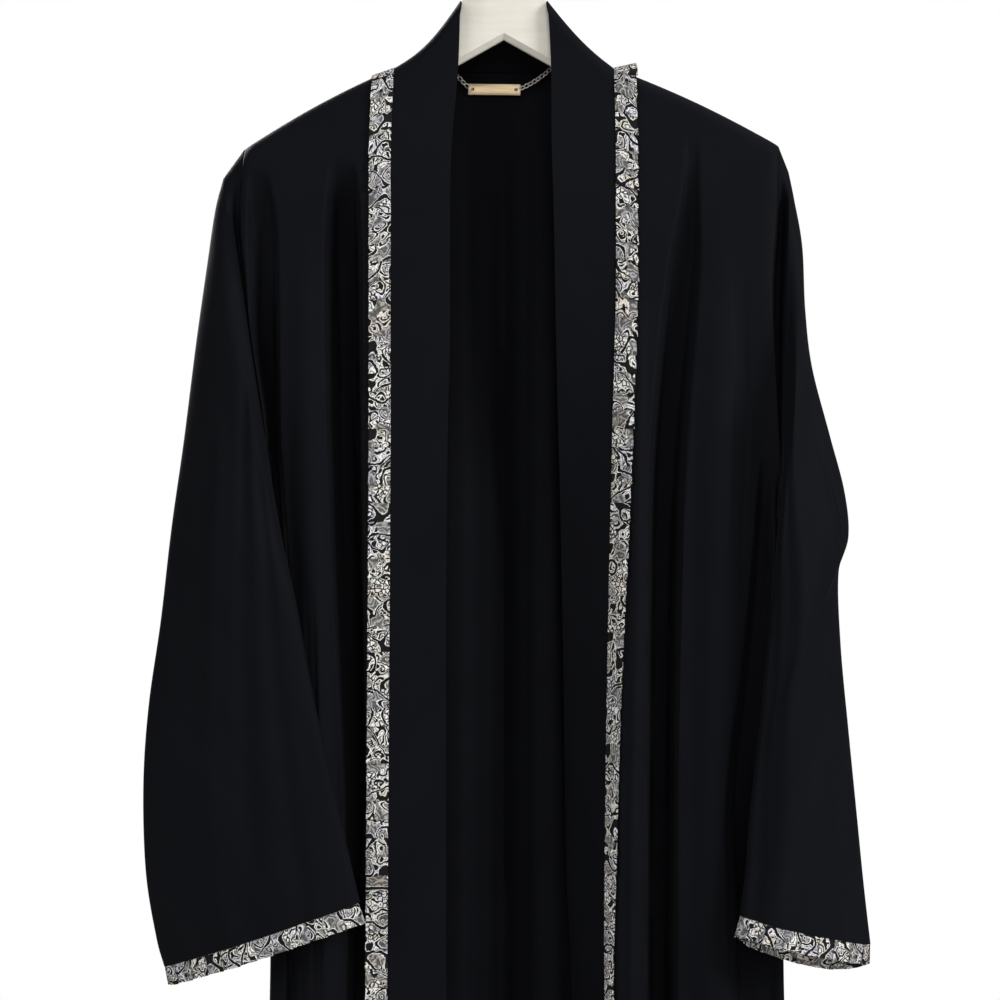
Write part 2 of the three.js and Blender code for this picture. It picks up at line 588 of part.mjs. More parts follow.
function hangerArm(sign) {
  const under = (x) => lerp(HANGER.underZ, HANGER.tipLow, x / HANGER.tipX);
  const below = 3.4; // the cloth's wall, its curve over the arm and the gap
  const side = sign < 0 ? 'right' : 'left';
  const inset = HANGER.bevel;
  const outline = [
    [inset + SEAM / 2, HANGER.topZ - inset],
    [HANGER.topX, HANGER.topZ - inset],
    [33 - 2, crest(side, 33) - below - inset],
    [NECK_X - 1, crest(side, NECK_X) - below - inset],
    [120, crest(side, 120) - below - inset],
    [160, crest(side, 160) - below - inset],
    [SHOULDER_X[side] - 8, crest(side, SHOULDER_X[side] - 8) - below - inset - 1],
    [SHOULDER_X[side] - 2, -228],
    [SHOULDER_X[side] - 6, under(SHOULDER_X[side] - 6) + inset + 1],
    [120, under(120) + inset],
    [inset + SEAM / 2, under(inset) + inset],
  ];
  const shape = new THREE.Shape(outline.map(([x, z]) => new THREE.Vector2(sign * x, z)));
  const geometry = new THREE.ExtrudeGeometry(shape, {
    depth: HANGER.thick - 2 * HANGER.bevel,
    bevelEnabled: true,
    bevelThickness: HANGER.bevel,
    bevelSize: HANGER.bevel,
    bevelSegments: 2,
  });
  geometry.rotateX(Math.PI / 2);
  geometry.translate(0, HANGER.thick / 2 - HANGER.bevel, 0);
  return geometry;
}

add('hanger_arm_right', hangerArm(-1), wood);
add('hanger_arm_left', hangerArm(1), wood);

const WIRE = 4;
const HOOK_RADIUS = 24; // to the middle of the wire

function circleShape(radius, sides) {
  const corner = (k) => new THREE.Vector2(radius * Math.cos((2 * Math.PI * k) / sides), radius * Math.sin((2 * Math.PI * k) / sides));
  return new THREE.Shape(Array.from({ length: sides }, (_, k) => corner(k)));
}

function rod(path, radius, sides, steps) {
  return new THREE.ExtrudeGeometry(circleShape(radius, sides), { steps, extrudePath: path });
}

const hookCentreZ = WIRE / 2 - HOOK_RADIUS;
const hookArc = [-38, -10, 20, 50, 80, 110, 140, 170, 196].map((angle) => {
  const a = THREE.MathUtils.degToRad(angle);
  return vector(HOOK_RADIUS * Math.cos(a), 0, hookCentreZ + HOOK_RADIUS * Math.sin(a));
});
const hookPath = new THREE.CatmullRomCurve3([
  vector(0, 0, HANGER.topZ + SEAM),
  vector(0, 0, HANGER.topZ + 10),
  vector(2.5, 0, HANGER.topZ + 22),
  ...hookArc,
]);
add('hanger_hook', rod(hookPath, WIRE / 2, 10, 40), steel);

// The plate on its chain, which hangs inside the back neck from the neck seam.
const PLATE = { length: 39.5, high: 9, thick: 1.2, x: -7, y: 35.2, z: -157.9, lean: 0.037 };
const plateShape = new THREE.Shape();
const halfLong = PLATE.length / 2;
const halfHigh = PLATE.high / 2;
const corner = 1.2;
plateShape.moveTo(-halfLong + corner, -halfHigh);
plateShape.lineTo(halfLong - corner, -halfHigh);
plateShape.quadraticCurveTo(halfLong, -halfHigh, halfLong, -halfHigh + corner);
plateShape.lineTo(halfLong, halfHigh - corner);
plateShape.quadraticCurveTo(halfLong, halfHigh, halfLong - corner, halfHigh);
plateShape.lineTo(-halfLong + corner, halfHigh);
plateShape.quadraticCurveTo(-halfLong, halfHigh, -halfLong, halfHigh - corner);
plateShape.lineTo(-halfLong, -halfHigh + corner);
plateShape.quadraticCurveTo(-halfLong, -halfHigh, -halfLong + corner, -halfHigh);
const plate = new THREE.ExtrudeGeometry(plateShape, { depth: PLATE.thick, bevelEnabled: false, curveSegments: 3 });
plate.rotateX(Math.PI / 2);
plate.translate(0, PLATE.thick / 2, 0);
const plateMesh = add('label_plate', plate, gold);
plateMesh.position.set(PLATE.x, PLATE.y, PLATE.z);
plateMesh.rotation.y = PLATE.lean;

const CHAIN = 2.4;
const chainEnds = {
  right: [[-37.6, 34.9, -147.5], [-34.5, 34.9, -153], [-27.4, 35.2, -157]],
  left: [[36.7, 34.9, -144.5], [28, 34.9, -152], [13.4, 35.2, -158.8]],
};
for (const [side, points] of Object.entries(chainEnds)) {
  const path = new THREE.CatmullRomCurve3(points.map(([x, y, z]) => vector(x, y, z)));
  add(`label_chain_${side}`, rod(path, CHAIN / 2, 8, 8), silver);
}

export default abaya;
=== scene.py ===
# %% [markdown]
# # An open-front abaya on its hanger
# A black crepe garment with a knife-pleated printed trim hangs from a flat wooden hanger.
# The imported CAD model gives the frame: every piece here goes where its solid is. All the
# shapes below are worked out in millimetres and become metres when a mesh is made.

# %% Load the frame
import math

import bpy
import numpy as np
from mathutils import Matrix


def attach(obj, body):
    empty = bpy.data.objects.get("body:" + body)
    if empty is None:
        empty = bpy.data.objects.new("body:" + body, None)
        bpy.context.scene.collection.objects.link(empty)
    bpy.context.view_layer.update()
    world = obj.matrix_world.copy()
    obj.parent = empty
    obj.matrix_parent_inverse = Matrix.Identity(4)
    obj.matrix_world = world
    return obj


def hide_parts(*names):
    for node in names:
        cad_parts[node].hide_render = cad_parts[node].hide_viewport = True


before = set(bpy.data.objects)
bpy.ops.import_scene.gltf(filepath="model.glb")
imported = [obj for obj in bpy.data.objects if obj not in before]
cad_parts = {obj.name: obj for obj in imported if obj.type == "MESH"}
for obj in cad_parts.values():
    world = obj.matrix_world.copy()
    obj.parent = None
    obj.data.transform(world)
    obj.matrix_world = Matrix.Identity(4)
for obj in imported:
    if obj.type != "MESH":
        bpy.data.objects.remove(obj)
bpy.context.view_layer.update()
MM = 0.001

# %% [markdown]
# ## Camera
# The photo is a level close-up, taken from about two metres in front of the garment. A long
# lens at that distance gives the same frame: 760 mm wide at the hanger.

# %% Camera
camera = bpy.data.objects.new("camera", bpy.data.cameras.new("camera"))
camera.location = (-0.003, -1.95, -0.475)
camera.rotation_euler = (math.pi / 2, 0, 0)
camera.data.lens = 92.4
camera.data.clip_end = 30
bpy.context.collection.objects.link(camera)
bpy.context.scene.camera = camera
print("Lens:", camera.data.lens, "mm")

# %% [markdown]
# ## Helpers for finishes
# A finish is a Principled shader with a few nodes in front of it. These functions add the
# nodes, so that each finish below reads as a short list.

# %% Shader helpers
def add_node(tree, kind, inputs=None, **settings):
    """Adds a shader node. inputs maps its sockets to values, or to the sockets that feed them."""
    made = tree.nodes.new("ShaderNode" + kind)
    for setting, value in settings.items():
        setattr(made, setting, value)
    for socket, value in (inputs or {}).items():
        if isinstance(value, bpy.types.NodeSocket):
            tree.links.new(value, made.inputs[socket])
        else:
            made.inputs[socket].default_value = value
    return made


def new_material(name, **sockets):
    """A material with a Principled shader, and numbers set on the shader's own sockets."""
    made = bpy.data.materials.new(name)
    made.use_nodes = True
    shader = made.node_tree.nodes["Principled BSDF"]
    for socket, value in sockets.items():
        shader.inputs[socket.replace("_", " ")].default_value = value
    return made, made.node_tree, shader


def noise(tree, vector, scale, detail, roughness=0.5):
    inputs = {"Vector": vector, "Scale": scale, "Detail": detail, "Roughness": roughness}
    return add_node(tree, "TexNoise", inputs).outputs


def ramp(tree, factor, stops, interpolation="CONSTANT"):
    """A colour ramp of (place, grey or colour) stops."""
    made = add_node(tree, "ValToRGB", {"Fac": factor})
    made.color_ramp.interpolation = interpolation
    elements = made.color_ramp.elements
    while len(elements) < len(stops):
        elements.new(1.0)
    for element, (place, colour) in zip(elements, stops):
        element.position = place
        element.color = (*colour, 1) if isinstance(colour, tuple) else (colour, colour, colour, 1)
    return made.outputs["Color"]


def bump(tree, height, strength, distance, before=None):
    inputs = {"Height": height, "Strength": strength, "Distance": distance}
    if before is not None:
        inputs["Normal"] = before
    return add_node(tree, "Bump", inputs).outputs["Normal"]


def hard_finish(name, stretch, grain, stops, relief=None, **sockets):
    """A paint or metal. One noise in the object's own place, stretched along its axes, shifts
    the colour between two stops and raises the relief of (strength, distance)."""
    made, tree, shader = new_material(name, **sockets)
    place = add_node(tree, "TexCoord").outputs["Object"]
    place = add_node(tree, "Mapping", {"Vector": place, "Scale": stretch}).outputs[0]
    height = noise(tree, place, *grain)["Fac"]
    tree.links.new(ramp(tree, height, stops, "LINEAR"), shader.inputs["Base Color"])
    if relief:
        tree.links.new(bump(tree, height, *relief), shader.inputs["Normal"])
    return made


print("Shader helpers ready")

# %% [markdown]
# ## Floor and light
# A pale floor lies under the hem. The light is soft: a big lamp well round on the right, a
# weaker one on the left, a weak one in front that reaches inside the neck, a small one above,
# one behind for the back, and a white surround that shows as the backdrop.

# %% Floor, lights and surround
def mode(name):
    bpy.ops.object.mode_set(mode=name)


def deselect():
    if bpy.context.object and bpy.context.object.mode != "OBJECT":
        mode("OBJECT")
    bpy.ops.object.select_all(action="DESELECT")


deselect()
bpy.ops.mesh.primitive_circle_add(vertices=96, radius=1.6, fill_type="NGON", location=(0, 0, -1.6))
floor = bpy.context.object
floor.name = "floor"
floor_finish, tree, shader = new_material("floor_finish", Roughness=0.7)
speckle = add_node(tree, "TexNoise", {"Scale": 3.0}).outputs["Fac"]
pale = ramp(tree, speckle, [(0.0, (0.78, 0.77, 0.75)), (1.0, (0.84, 0.83, 0.81))], "LINEAR")
tree.links.new(pale, shader.inputs["Base Color"])
floor.data.materials.append(floor_finish)


def area_light(name, place, aim, width, watts):
    lamp = bpy.data.lights.new(name, "AREA")
    lamp.size = width
    lamp.energy = watts
    made = bpy.data.objects.new(name, lamp)
    made.location = place
    x, y, z = np.array(aim) - np.array(place)
    made.rotation_euler = (math.atan2(math.hypot(x, y), -z), 0, math.atan2(y, x) - math.pi / 2)
    bpy.context.collection.objects.link(made)


area_light("key_light", (2.5, -1.4, 0.7), (0, 0, -0.5), 1.2, 72)
area_light("fill_light", (-2.3, -1.7, 0.3), (0, 0, -0.6), 1.6, 28)
area_light("front_light", (0.3, -2.8, 0.6), (0, 0, -0.5), 1.6, 26)
area_light("top_light", (0.2, 0.3, 1.3), (0, 0, -0.4), 1.0, 8)
area_light("back_light", (-1.6, 2.6, 0.8), (0, 0, -0.7), 1.4, 85)
world = bpy.data.worlds.new("surround")
bpy.context.scene.world = world
world.use_nodes = True
tree = world.node_tree
backdrop = tree.nodes["Background"]
backdrop.inputs["Color"].default_value = (1, 1, 1, 1)
backdrop.inputs["Strength"].default_value = 1.0
ambient = add_node(tree, "Background", {"Color": (0.94, 0.97, 1.0, 1), "Strength": 0.14})
seen = add_node(tree, "LightPath")
either = add_node(
    tree, "MixShader",
    {0: seen.outputs["Is Camera Ray"], 1: ambient.outputs[0], 2: backdrop.outputs[0]},
)
tree.links.new(either.outputs[0], tree.nodes["World Output"].inputs["Surface"])
bpy.context.scene.view_settings.view_transform = "Standard"
print("Lights: 5 lamps and a white surround")

# %% [markdown]
# ## Measures of the garment
# The tables are the maker's pattern: heights go down from the rail, with the band seam, the
# side, the band's free edge, how far the cloth stands in front of the hanger, and how far
# the front edge turns back. A smooth curve runs through the rows of each table.

# %% Sizes and curves
SEAM = 0.3  # gap between sewn pieces
CREPE = 1.1  # thickness of the crepe
BAND = 1.6  # the front band is folded double
TRIM = 0.35
TRIM_WIDTH = 16.5
CUFF_TRIM_WIDTH = 14.5
BAND_WIDTH = 49
PITCH = 14.0  # from one pleat of the trim to the next
NECK_X = 82
NECK_Z = -147
SHOULDER_X = {"right": 197, "left": 208}
SHOULDER_Z = {"right": -209, "left": -206}
SIGN = {"right": -1, "left": 1}
ARM_Z = {"right": -439, "left": -467}
ARM_FORWARD = 14  # how far the underarm stands forward
ARM_FADE = 170  # the side seam is back in line this far below the underarm
ARM_HALF = (13, 17)  # half the armhole's depth at its top and lower down
ARM_ROUND_TOP, ARM_ROUND_FOOT = 0.09, 0.16  # shares of its height that are rounded off
HEM_Z = -1552
ROLL = 12
NECK_BOW = 26
NECK_SAG = {"right": 7.0, "left": 4.5}  # how far the neck's outline sinks below 45 degrees
NECK_RISE, CREST_RISE = 1.04, 3  # the neck's slope, and how far the shoulder's crest bulges
TOP_ROUND, FRONT_ROUND, BACK_ROUND = 8, 15, 36  # widths over which the cloth turns to its side seam
BACK_DEEP = 34  # how far the back hangs behind the hanger, below the shoulders
LOOSE_FROM, LOOSE_OVER = -200, 120  # below the shoulders the cloth is a little uneven


def mix(a, b, t):
    return a + (b - a) * t


def smooth(t):
    t = np.clip(t, 0, 1)
    return t * t * (3 - 2 * t)


def rounded(t):
    return np.sqrt(1 - (1 - np.clip(t, 0, 1)) ** 2)


def unit(vectors):
    return vectors / np.linalg.norm(vectors, axis=-1, keepdims=True)


def read(rows, column, at):
    """A column of a table at places on its first column, which falls or rises all the way."""
    keys, values = rows[:, 0], rows[:, column]
    slopes = np.gradient(values) / np.gradient(keys)
    way = 1 if keys[-1] > keys[0] else -1
    at = np.clip(at, keys.min(), keys.max())
    i = np.clip(np.searchsorted(keys * way, at * way, side="right") - 1, 0, len(keys) - 2)
    span = keys[i + 1] - keys[i]
    t = (at - keys[i]) / span
    return (
        (2 * t**3 - 3 * t**2 + 1) * values[i]
        + (t**3 - 2 * t**2 + t) * span * slopes[i]
        + (3 * t**2 - 2 * t**3) * values[i + 1]
        + (t**3 - t**2) * span * slopes[i + 1]
    )


SEAM_AT, SIDE_AT, INNER_AT, DEEP_AT, TURN_AT = 1, 2, 3, 4, 5
FRONT = {
    "right": np.array([
        (-97, 82, 197, 33, 13, 0), (-147, 83, 197, 34.5, 13, 0), (-209, 85, 197, 39.5, 18, 0),
        (-260, 85, 199, 40.5, 20, 0), (-344, 85, 191, 40.5, 22, 0), (-439, 85, 178, 42.5, 23, 0),
        (-600, 86, 178, 43.5, 23, 0), (-850, 87.5, 178, 43.5, 24, 0), (-1200, 90, 190, 45, 25, 0),
        (-1552, 93, 204, 47, 26, 0),
    ]),
    "left": np.array([
        (-97, 82, 208, 33, 13, 0), (-147, 83, 208, 35.5, 13, 0), (-206, 84, 208, 36, 17, 0),
        (-260, 84, 206, 37.5, 20, 0), (-317, 84, 202, 38.5, 21, 1), (-400, 82, 205, 40.5, 22, 4),
        (-467, 80.5, 208, 42.5, 23, 7), (-600, 78, 210, 45.5, 24, 12), (-760, 76, 212, 48, 25, 14),
        (-850, 76, 213, 52, 26, 15), (-1200, 80, 221, 58, 27, 12), (-1552, 86, 232, 62, 28, 9),
    ]),
}
print("Tables of the fronts:", {side: len(rows) for side, rows in FRONT.items()})

# %% [markdown]
# ## Folds
# Each fold runs down the cloth. Its rows give the height, the middle, the half width on the
# side of the neck and on the side of the arm, and the depth: a trough sinks in and a ridge,
# with a depth below nought, stands out. Uneven widths give one steep and one slow side.

# %% Fold tables
FRONT_FOLDS = {
    "right": [
        [(-222, 186, 8, 8, 0), (-262, 183, 13, 12, 9), (-320, 180, 12, 13, 15), (-380, 179, 11, 12, 22),
         (-440, 177, 10, 10, 23), (-510, 172, 10, 10, 15), (-600, 168, 11, 12, 9), (-700, 166, 12, 12, 8),
         (-1200, 172, 18, 18, 8), (-1552, 176, 22, 22, 9)],
        [(-218, 119, 8, 14, 0), (-262, 118, 11, 18, 20), (-340, 117, 11, 19, 36), (-420, 116, 10, 18, 47),
         (-520, 114, 9, 16, 52), (-600, 112, 8, 14, 54), (-700, 110, 7, 11, 54), (-850, 110, 6, 9, 46),
         (-1200, 120, 12, 16, 26), (-1552, 128, 17, 17, 17)],
        [(-250, 150, 16, 14, 0), (-420, 148, 17, 16, -4.5), (-850, 136, 18, 22, -6.5),
         (-1552, 148, 22, 22, -8)],
        [(-247, 188, 5, 4, 0), (-300, 188, 5, 4, -3), (-345, 187, 4, 4, 0)],
        [(-700, 158, 8, 8, 0), (-900, 156, 9, 9, 5), (-1552, 160, 12, 12, 7)],
        [(-520, 146, 5, 6, 0), (-640, 143, 5, 6, 1.6), (-800, 140, 5, 6, 1.4), (-1000, 140, 6, 6, 0)],
    ],
    "left": [
        [(-200, 142, 5, 6, 0), (-247, 140, 7, 8, 6), (-290, 137, 13, 12, 11), (-353, 131, 15, 14, 17),
         (-441, 124, 15, 14, 24), (-530, 121, 13, 13, 36), (-640, 120, 13, 12, 45), (-851, 119, 13, 12, 46),
         (-1200, 124, 16, 16, 28), (-1552, 130, 18, 18, 14)],
        [(-260, 165, 22, 20, 0), (-440, 160, 20, 24, -4.5), (-850, 156, 20, 28, -6),
         (-1552, 172, 28, 28, -8)],
        [(-440, 198, 6, 7, 0), (-520, 195, 9, 10, 9), (-600, 189, 11, 11, 10), (-700, 180, 14, 20, 15),
         (-770, 186, 19, 29, 20), (-860, 188, 20, 29, 20), (-1000, 190, 15, 15, 10),
         (-1552, 198, 16, 16, 9)],
        [(-300, 103, 8, 8, 0), (-500, 100, 8, 8, -2.5), (-850, 96, 8, 8, -3.5), (-1552, 106, 14, 14, -5)],
        [(-300, 176, 6, 7, 0), (-420, 178, 7, 8, 1.6), (-560, 172, 7, 8, 0)],
    ],
}
BACK_FOLDS = [
    [(-165, 0, 10, 10, 0), (-300, -1, 11, 13, -5), (-490, 0, 12, 14, -9), (-900, -2, 15, 17, -10),
     (-1552, -6, 20, 24, -11)],
    [(-165, 30, 10, 10, 0), (-320, 31, 13, 15, 6), (-600, 32, 15, 17, 8), (-1552, 38, 24, 24, 10)],
    [(-165, -36, 12, 12, 0), (-320, -36, 17, 15, 5), (-700, -38, 19, 17, 7), (-1552, -46, 26, 26, 9)],
    [(-240, 84, 16, 16, 0), (-420, 82, 17, 19, -7), (-900, 84, 20, 24, -9), (-1552, 96, 24, 28, -12)],
    [(-240, -80, 16, 16, 0), (-420, -82, 19, 17, -8), (-900, -84, 24, 20, -9), (-1552, -92, 28, 24, -11)],
    [(-230, 130, 14, 14, 0), (-420, 126, 17, 19, 7), (-900, 130, 19, 21, 9), (-1552, 142, 26, 26, 12)],
    [(-230, -128, 14, 14, 0), (-420, -124, 17, 15, 8), (-900, -122, 22, 18, 9), (-1552, -134, 26, 22, 11)],
    [(-460, 168, 14, 14, 0), (-700, 170, 18, 18, -5), (-1552, 186, 24, 24, -8)],
    [(-460, -154, 12, 12, 0), (-700, -154, 14, 14, -4), (-1552, -170, 20, 20, -7)],
]


BEGIN_OVER, TROUGH_FLOOR = 12, 0.42  # mm down from a fold's start, and a trough's flat share


def hump(share):
    """1 in the middle of a fold, falling softly to 0 where share is 1."""
    return np.cos(np.clip(share, 0, 1) * np.pi / 2) ** 2


def fold_depth(folds, x, z):
    """How deep the folds sink in at (x, z)."""
    total = np.zeros_like(x)
    for rows in folds:
        rows = np.array(rows, float)
        away = x - read(rows, 1, z)
        share = np.abs(away) / np.where(away < 0, read(rows, 2, z), read(rows, 3, z))
        begun = smooth((rows[0, 0] - z) / BEGIN_OVER)
        deep = read(rows, 4, z)
        ridge = hump(share)
        trough = 1 - smooth((share - TROUGH_FLOOR) / (1 - TROUGH_FLOOR))
        total += begun * deep * np.where(deep > 0, trough, ridge)
    return total


def uneven(x, z, phase):
    """The small unevenness of soft cloth, under a millimetre, with nothing random in it."""
    return (
        0.22 * np.sin(x / 9.5 + z / 88 + phase)
        + 0.25 * np.sin(x / 17 - z / 61 + 2.1 * phase)
        + 0.1 * np.sin(x / 5.8 + z / 143 + 3.7 * phase)
    )


print("Folds:", sum(len(f) for f in FRONT_FOLDS.values()), "in front,", len(BACK_FOLDS), "behind")

# %% [markdown]
# ## Where the cloth bends
# The shoulder crest runs from the neck to the armhole; beside the neck it falls in a hollow
# line at about 45 degrees, where the front band folds over. The armhole's edge stands in
# front of and behind the crest's end, and meets itself at the underarm, which the sleeve
# pulls forward.

# %% Crest, armhole and side
def crest(side, x):
    end = SHOULDER_X[side]
    share = np.clip((x - NECK_X) / (end - NECK_X), 0, 1.2)
    outer = mix(NECK_Z, SHOULDER_Z[side], share) + CREST_RISE * np.sin(np.pi * share)
    up = np.clip((NECK_X - x) / BAND_WIDTH, 0, 1)
    neck = NECK_Z + NECK_RISE * (NECK_X - x) - NECK_SAG[side] * np.sin(np.pi * up)
    return np.where(x < NECK_X, neck, outer)


def armhole(side, t):
    z = mix(SHOULDER_Z[side], ARM_Z[side], t)
    half = mix(*ARM_HALF, smooth(t / 0.4)) * rounded(t / ARM_ROUND_TOP) * rounded((1 - t) / ARM_ROUND_FOOT)
    forward = ARM_FORWARD * t**2
    return read(FRONT[side], SIDE_AT, z), z, forward + half, half - forward


def side_depth(side, z, face):
    below = ARM_FORWARD * (1 - np.clip((ARM_Z[side] - z) / ARM_FADE, 0, 1)) ** 3
    t = np.clip((SHOULDER_Z[side] - z) / (SHOULDER_Z[side] - ARM_Z[side]), 0, 1)
    _, _, front, back = armhole(side, t)
    beside = front if face == "front" else back
    return np.where(z < ARM_Z[side], below if face == "front" else -below, beside)


def side_round(side, z, wide):
    return mix(TOP_ROUND, wide, smooth((SHOULDER_Z[side] - z) / 70))


def loose(z):
    return smooth((LOOSE_FROM - z) / LOOSE_OVER)


def front_depth(side, x, z):
    rows = FRONT[side]
    flat = read(rows, DEEP_AT, z) - fold_depth(FRONT_FOLDS[side], x, z)
    flat = flat + loose(z) * uneven(x, z, 0.4 if side == "right" else 1.9)
    turned = read(rows, TURN_AT, z) * np.clip(1 - (x - read(rows, SEAM_AT, z)) / 12, 0, 1) ** 1.5
    near_side = rounded((read(rows, SIDE_AT, z) - SEAM / 2 - x) / side_round(side, z, FRONT_ROUND))
    return mix(side_depth(side, z, "front"), flat - turned, near_side)


def back_depth(x, z):
    away = np.abs(x)
    bow = NECK_BOW * np.clip(1 - (away / 150) ** 2, 0, 1) * (1 - 0.25 * smooth((NECK_Z - z) / 300))
    base = mix(ROLL + 2 + bow, BACK_DEEP, smooth((NECK_Z - z) / 420))
    flat = base - fold_depth(BACK_FOLDS, x, z) + loose(z) * uneven(x, z, 3.1)
    depths = []
    for side in ("right", "left"):
        edge = read(FRONT[side], SIDE_AT, z) - SEAM / 2
        near_side = rounded((edge - away) / side_round(side, z, BACK_ROUND))
        depths.append(mix(side_depth(side, z, "back"), flat, near_side))
    return np.where(x < 0, depths[0], depths[1])


ROLL_ROWS, ARM_ROWS, SKIRT_ROWS = 10, 50, 150
arm_steps = np.linspace(0, 1, ARM_ROWS + 1)[1:]
skirt_steps = np.linspace(0, 1, SKIRT_ROWS + 1)[1:]
UNDERARM_ROW = ROLL_ROWS + ARM_ROWS - 1


def column_rows(top, underarm):
    """Heights down every column, and how far each has rolled over the crest, from 0 to 1."""
    angle = np.linspace(0, np.pi / 2, ROLL_ROWS)
    start = top - ROLL
    z = np.concatenate([
        top - ROLL * (1 - np.cos(angle))[:, None],
        mix(start, underarm, arm_steps[:, None]),
        mix(underarm, HEM_Z, skirt_steps[:, None]) + 0 * top,
    ])
    roll = np.concatenate([np.sin(angle), np.ones(ARM_ROWS + SKIRT_ROWS)])[:, None] + 0 * top
    return z, roll


print("Rows down each panel:", ROLL_ROWS + ARM_ROWS + SKIRT_ROWS)

# %% [markdown]
# ## Turning a grid of points into cloth
# A piece of cloth is a grid of points on its face and a second grid behind it, with a rim
# round the edge, so that it is a closed thin wall as real cloth is. Its UV map is in metres
# along the cloth, so a weave or print keeps its real size and follows every fold.

# %% Mesh of a cloth wall
def outward(grid, turned, no_share=(), wrap=False):
    """The direction out of the cloth at each point. no_share holds (rows, columns, axis)
    slices where a direction has no share of an axis, as at an edge beside another piece."""
    down = np.gradient(grid, axis=0)
    if wrap:
        across = (np.roll(grid, -1, axis=1) - np.roll(grid, 1, axis=1)) / 2
    else:
        across = np.gradient(grid, axis=1)
    out = np.cross(across, down) * turned
    for rows, columns, axis in no_share:
        out[rows, columns, axis] = 0
    return out / np.maximum(np.linalg.norm(out, axis=2, keepdims=True), 1e-9)


def lengths(grid, axis, wrap=False):
    """Distance along the cloth, in mm, from the first row or column."""
    points = np.concatenate([grid, grid[:, :1]], axis=1) if wrap else grid
    steps = np.linalg.norm(np.diff(points, axis=axis), axis=2)
    first = np.zeros_like(steps[:1] if axis == 0 else steps[:, :1])
    return np.concatenate([first, np.cumsum(steps, axis=axis)], axis=axis)


def quads(rows, columns, wrap):
    i, j = np.meshgrid(np.arange(rows - 1), np.arange(columns - (0 if wrap else 1)), indexing="ij")
    after = (j + 1) % columns
    here, below = i * columns, (i + 1) * columns
    cells = np.stack([here + j, below + j, below + after, here + after], -1)
    corners = np.stack([i, j, i + 1, j, i + 1, j + 1, i, j + 1], -1)
    return cells.reshape(-1, 4), corners.reshape(-1, 4, 2)


def cloth_wall(name, outer, inner, uv, wrap=False):
    """A closed wall between two grids. uv has one more column than the grids where it wraps."""
    rows, columns = outer.shape[:2]
    count = rows * columns
    cells, corners = quads(rows, columns, wrap)
    faces = [cells, cells[:, ::-1] + count]
    places = [corners, corners[:, ::-1]]
    across, down = np.arange(columns + (1 if wrap else 0)), np.arange(rows)
    edges = [(0 * across, across), (0 * across + rows - 1, across)]
    if not wrap:
        edges += [(down, 0 * down), (down, 0 * down + columns - 1)]
    for n, edge in enumerate(edges):
        way = -1 if n % 2 else 1  # the two edges of a pair face apart
        line = np.stack(edge, -1)
        at = np.stack([line[:-1], line[1:], line[1:], line[:-1]], 1)[:, ::way]
        behind = np.array((0, 0, count, count))[::way]
        faces.append(at[..., 0] * columns + at[..., 1] % columns + behind)
        places.append(at)
    faces, places = np.concatenate(faces), np.concatenate(places)
    points = np.concatenate([outer.reshape(-1, 3), inner.reshape(-1, 3)]) * MM
    a, b, c, d = (points[faces[:, n]] for n in range(4))
    volume = (a * np.cross(b, c)).sum() + (a * np.cross(c, d)).sum()
    if volume < 0:
        faces, places = faces[:, ::-1], places[:, ::-1]
    mesh = bpy.data.meshes.new(name)
    mesh.from_pydata(points.tolist(), [], faces.tolist())
    layer = mesh.uv_layers.new(name="cloth")
    layer.data.foreach_set("uv", (uv[places[..., 0], places[..., 1]] * MM).astype(np.float32).ravel())
    mesh.shade_smooth()
    made = bpy.data.objects.new(name, mesh)
    bpy.context.collection.objects.link(made)
    return made


def sharp_rims(piece, degrees=50):
    deselect()
    piece.select_set(True)
    bpy.context.view_layer.objects.active = piece
    bpy.ops.object.shade_smooth_by_angle(angle=math.radians(degrees))
    deselect()


def cloth_area(outer, wrap=False):
    """The area of the cloth's face, in square metres."""
    grid = np.concatenate([outer, outer[:, :1]], axis=1) if wrap else outer
    across, down = np.diff(grid, axis=1)[:-1], np.diff(grid, axis=0)[:, :-1]
    return float(np.linalg.norm(np.cross(across, down), axis=2).sum()) * MM * MM


def settle(piece, node, material):
    """Every piece rides on the one body, stands for its CAD solid and has its finish."""
    piece.data.materials.clear()
    piece.data.materials.append(material)
    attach(piece, "root")
    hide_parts(node)


print("Cloth helpers ready")

# %% [markdown]
# ## Black crepe
# Crepe is spun hard and woven plain, so its face is matt and slightly pebbled, with a soft
# sheen where it turns away. The fine grain is bump on the cloth's own UV map, in metres. The
# colour drifts a little, as a dyed black does.

# %% Crepe
crepe, tree, shader = new_material(
    "black_crepe", Roughness=0.68, Sheen_Weight=0.012, Sheen_Roughness=0.4, Specular_IOR_Level=0.06
)
uv = add_node(tree, "TexCoord").outputs["UV"]
drift = noise(tree, uv, 14.0, 3.0)["Fac"]
shades = ramp(tree, drift, [(0.3, (0.0033, 0.0036, 0.0054)), (0.75, (0.0045, 0.0049, 0.0069))], "LINEAR")
tree.links.new(shades, shader.inputs["Base Color"])
weave = add_node(
    tree, "TexWave", {"Vector": uv, "Scale": 520.0, "Distortion": 1.5, "Detail": 1.0}, bands_direction="X"
)
fine = bump(tree, weave.outputs["Fac"], 0.12, 0.0002)
grain = noise(tree, uv, 1100.0, 2.0)["Fac"]
tree.links.new(bump(tree, grain, 0.35, 0.0004, fine), shader.inputs["Normal"])
print("Crepe:", crepe.name)

# %% [markdown]
# ## Printed trim
# The trim is white cotton printed with small paisley drops and curls in greys and black. The
# drops are cells of a Voronoi pattern, each turned its own way, and a colour ramp draws the
# rings inside a drop. Curls are the contour lines of a slow noise. All of it follows the UV
# map in metres, and because a pleat hides part of the strip, the print jumps at each fold.

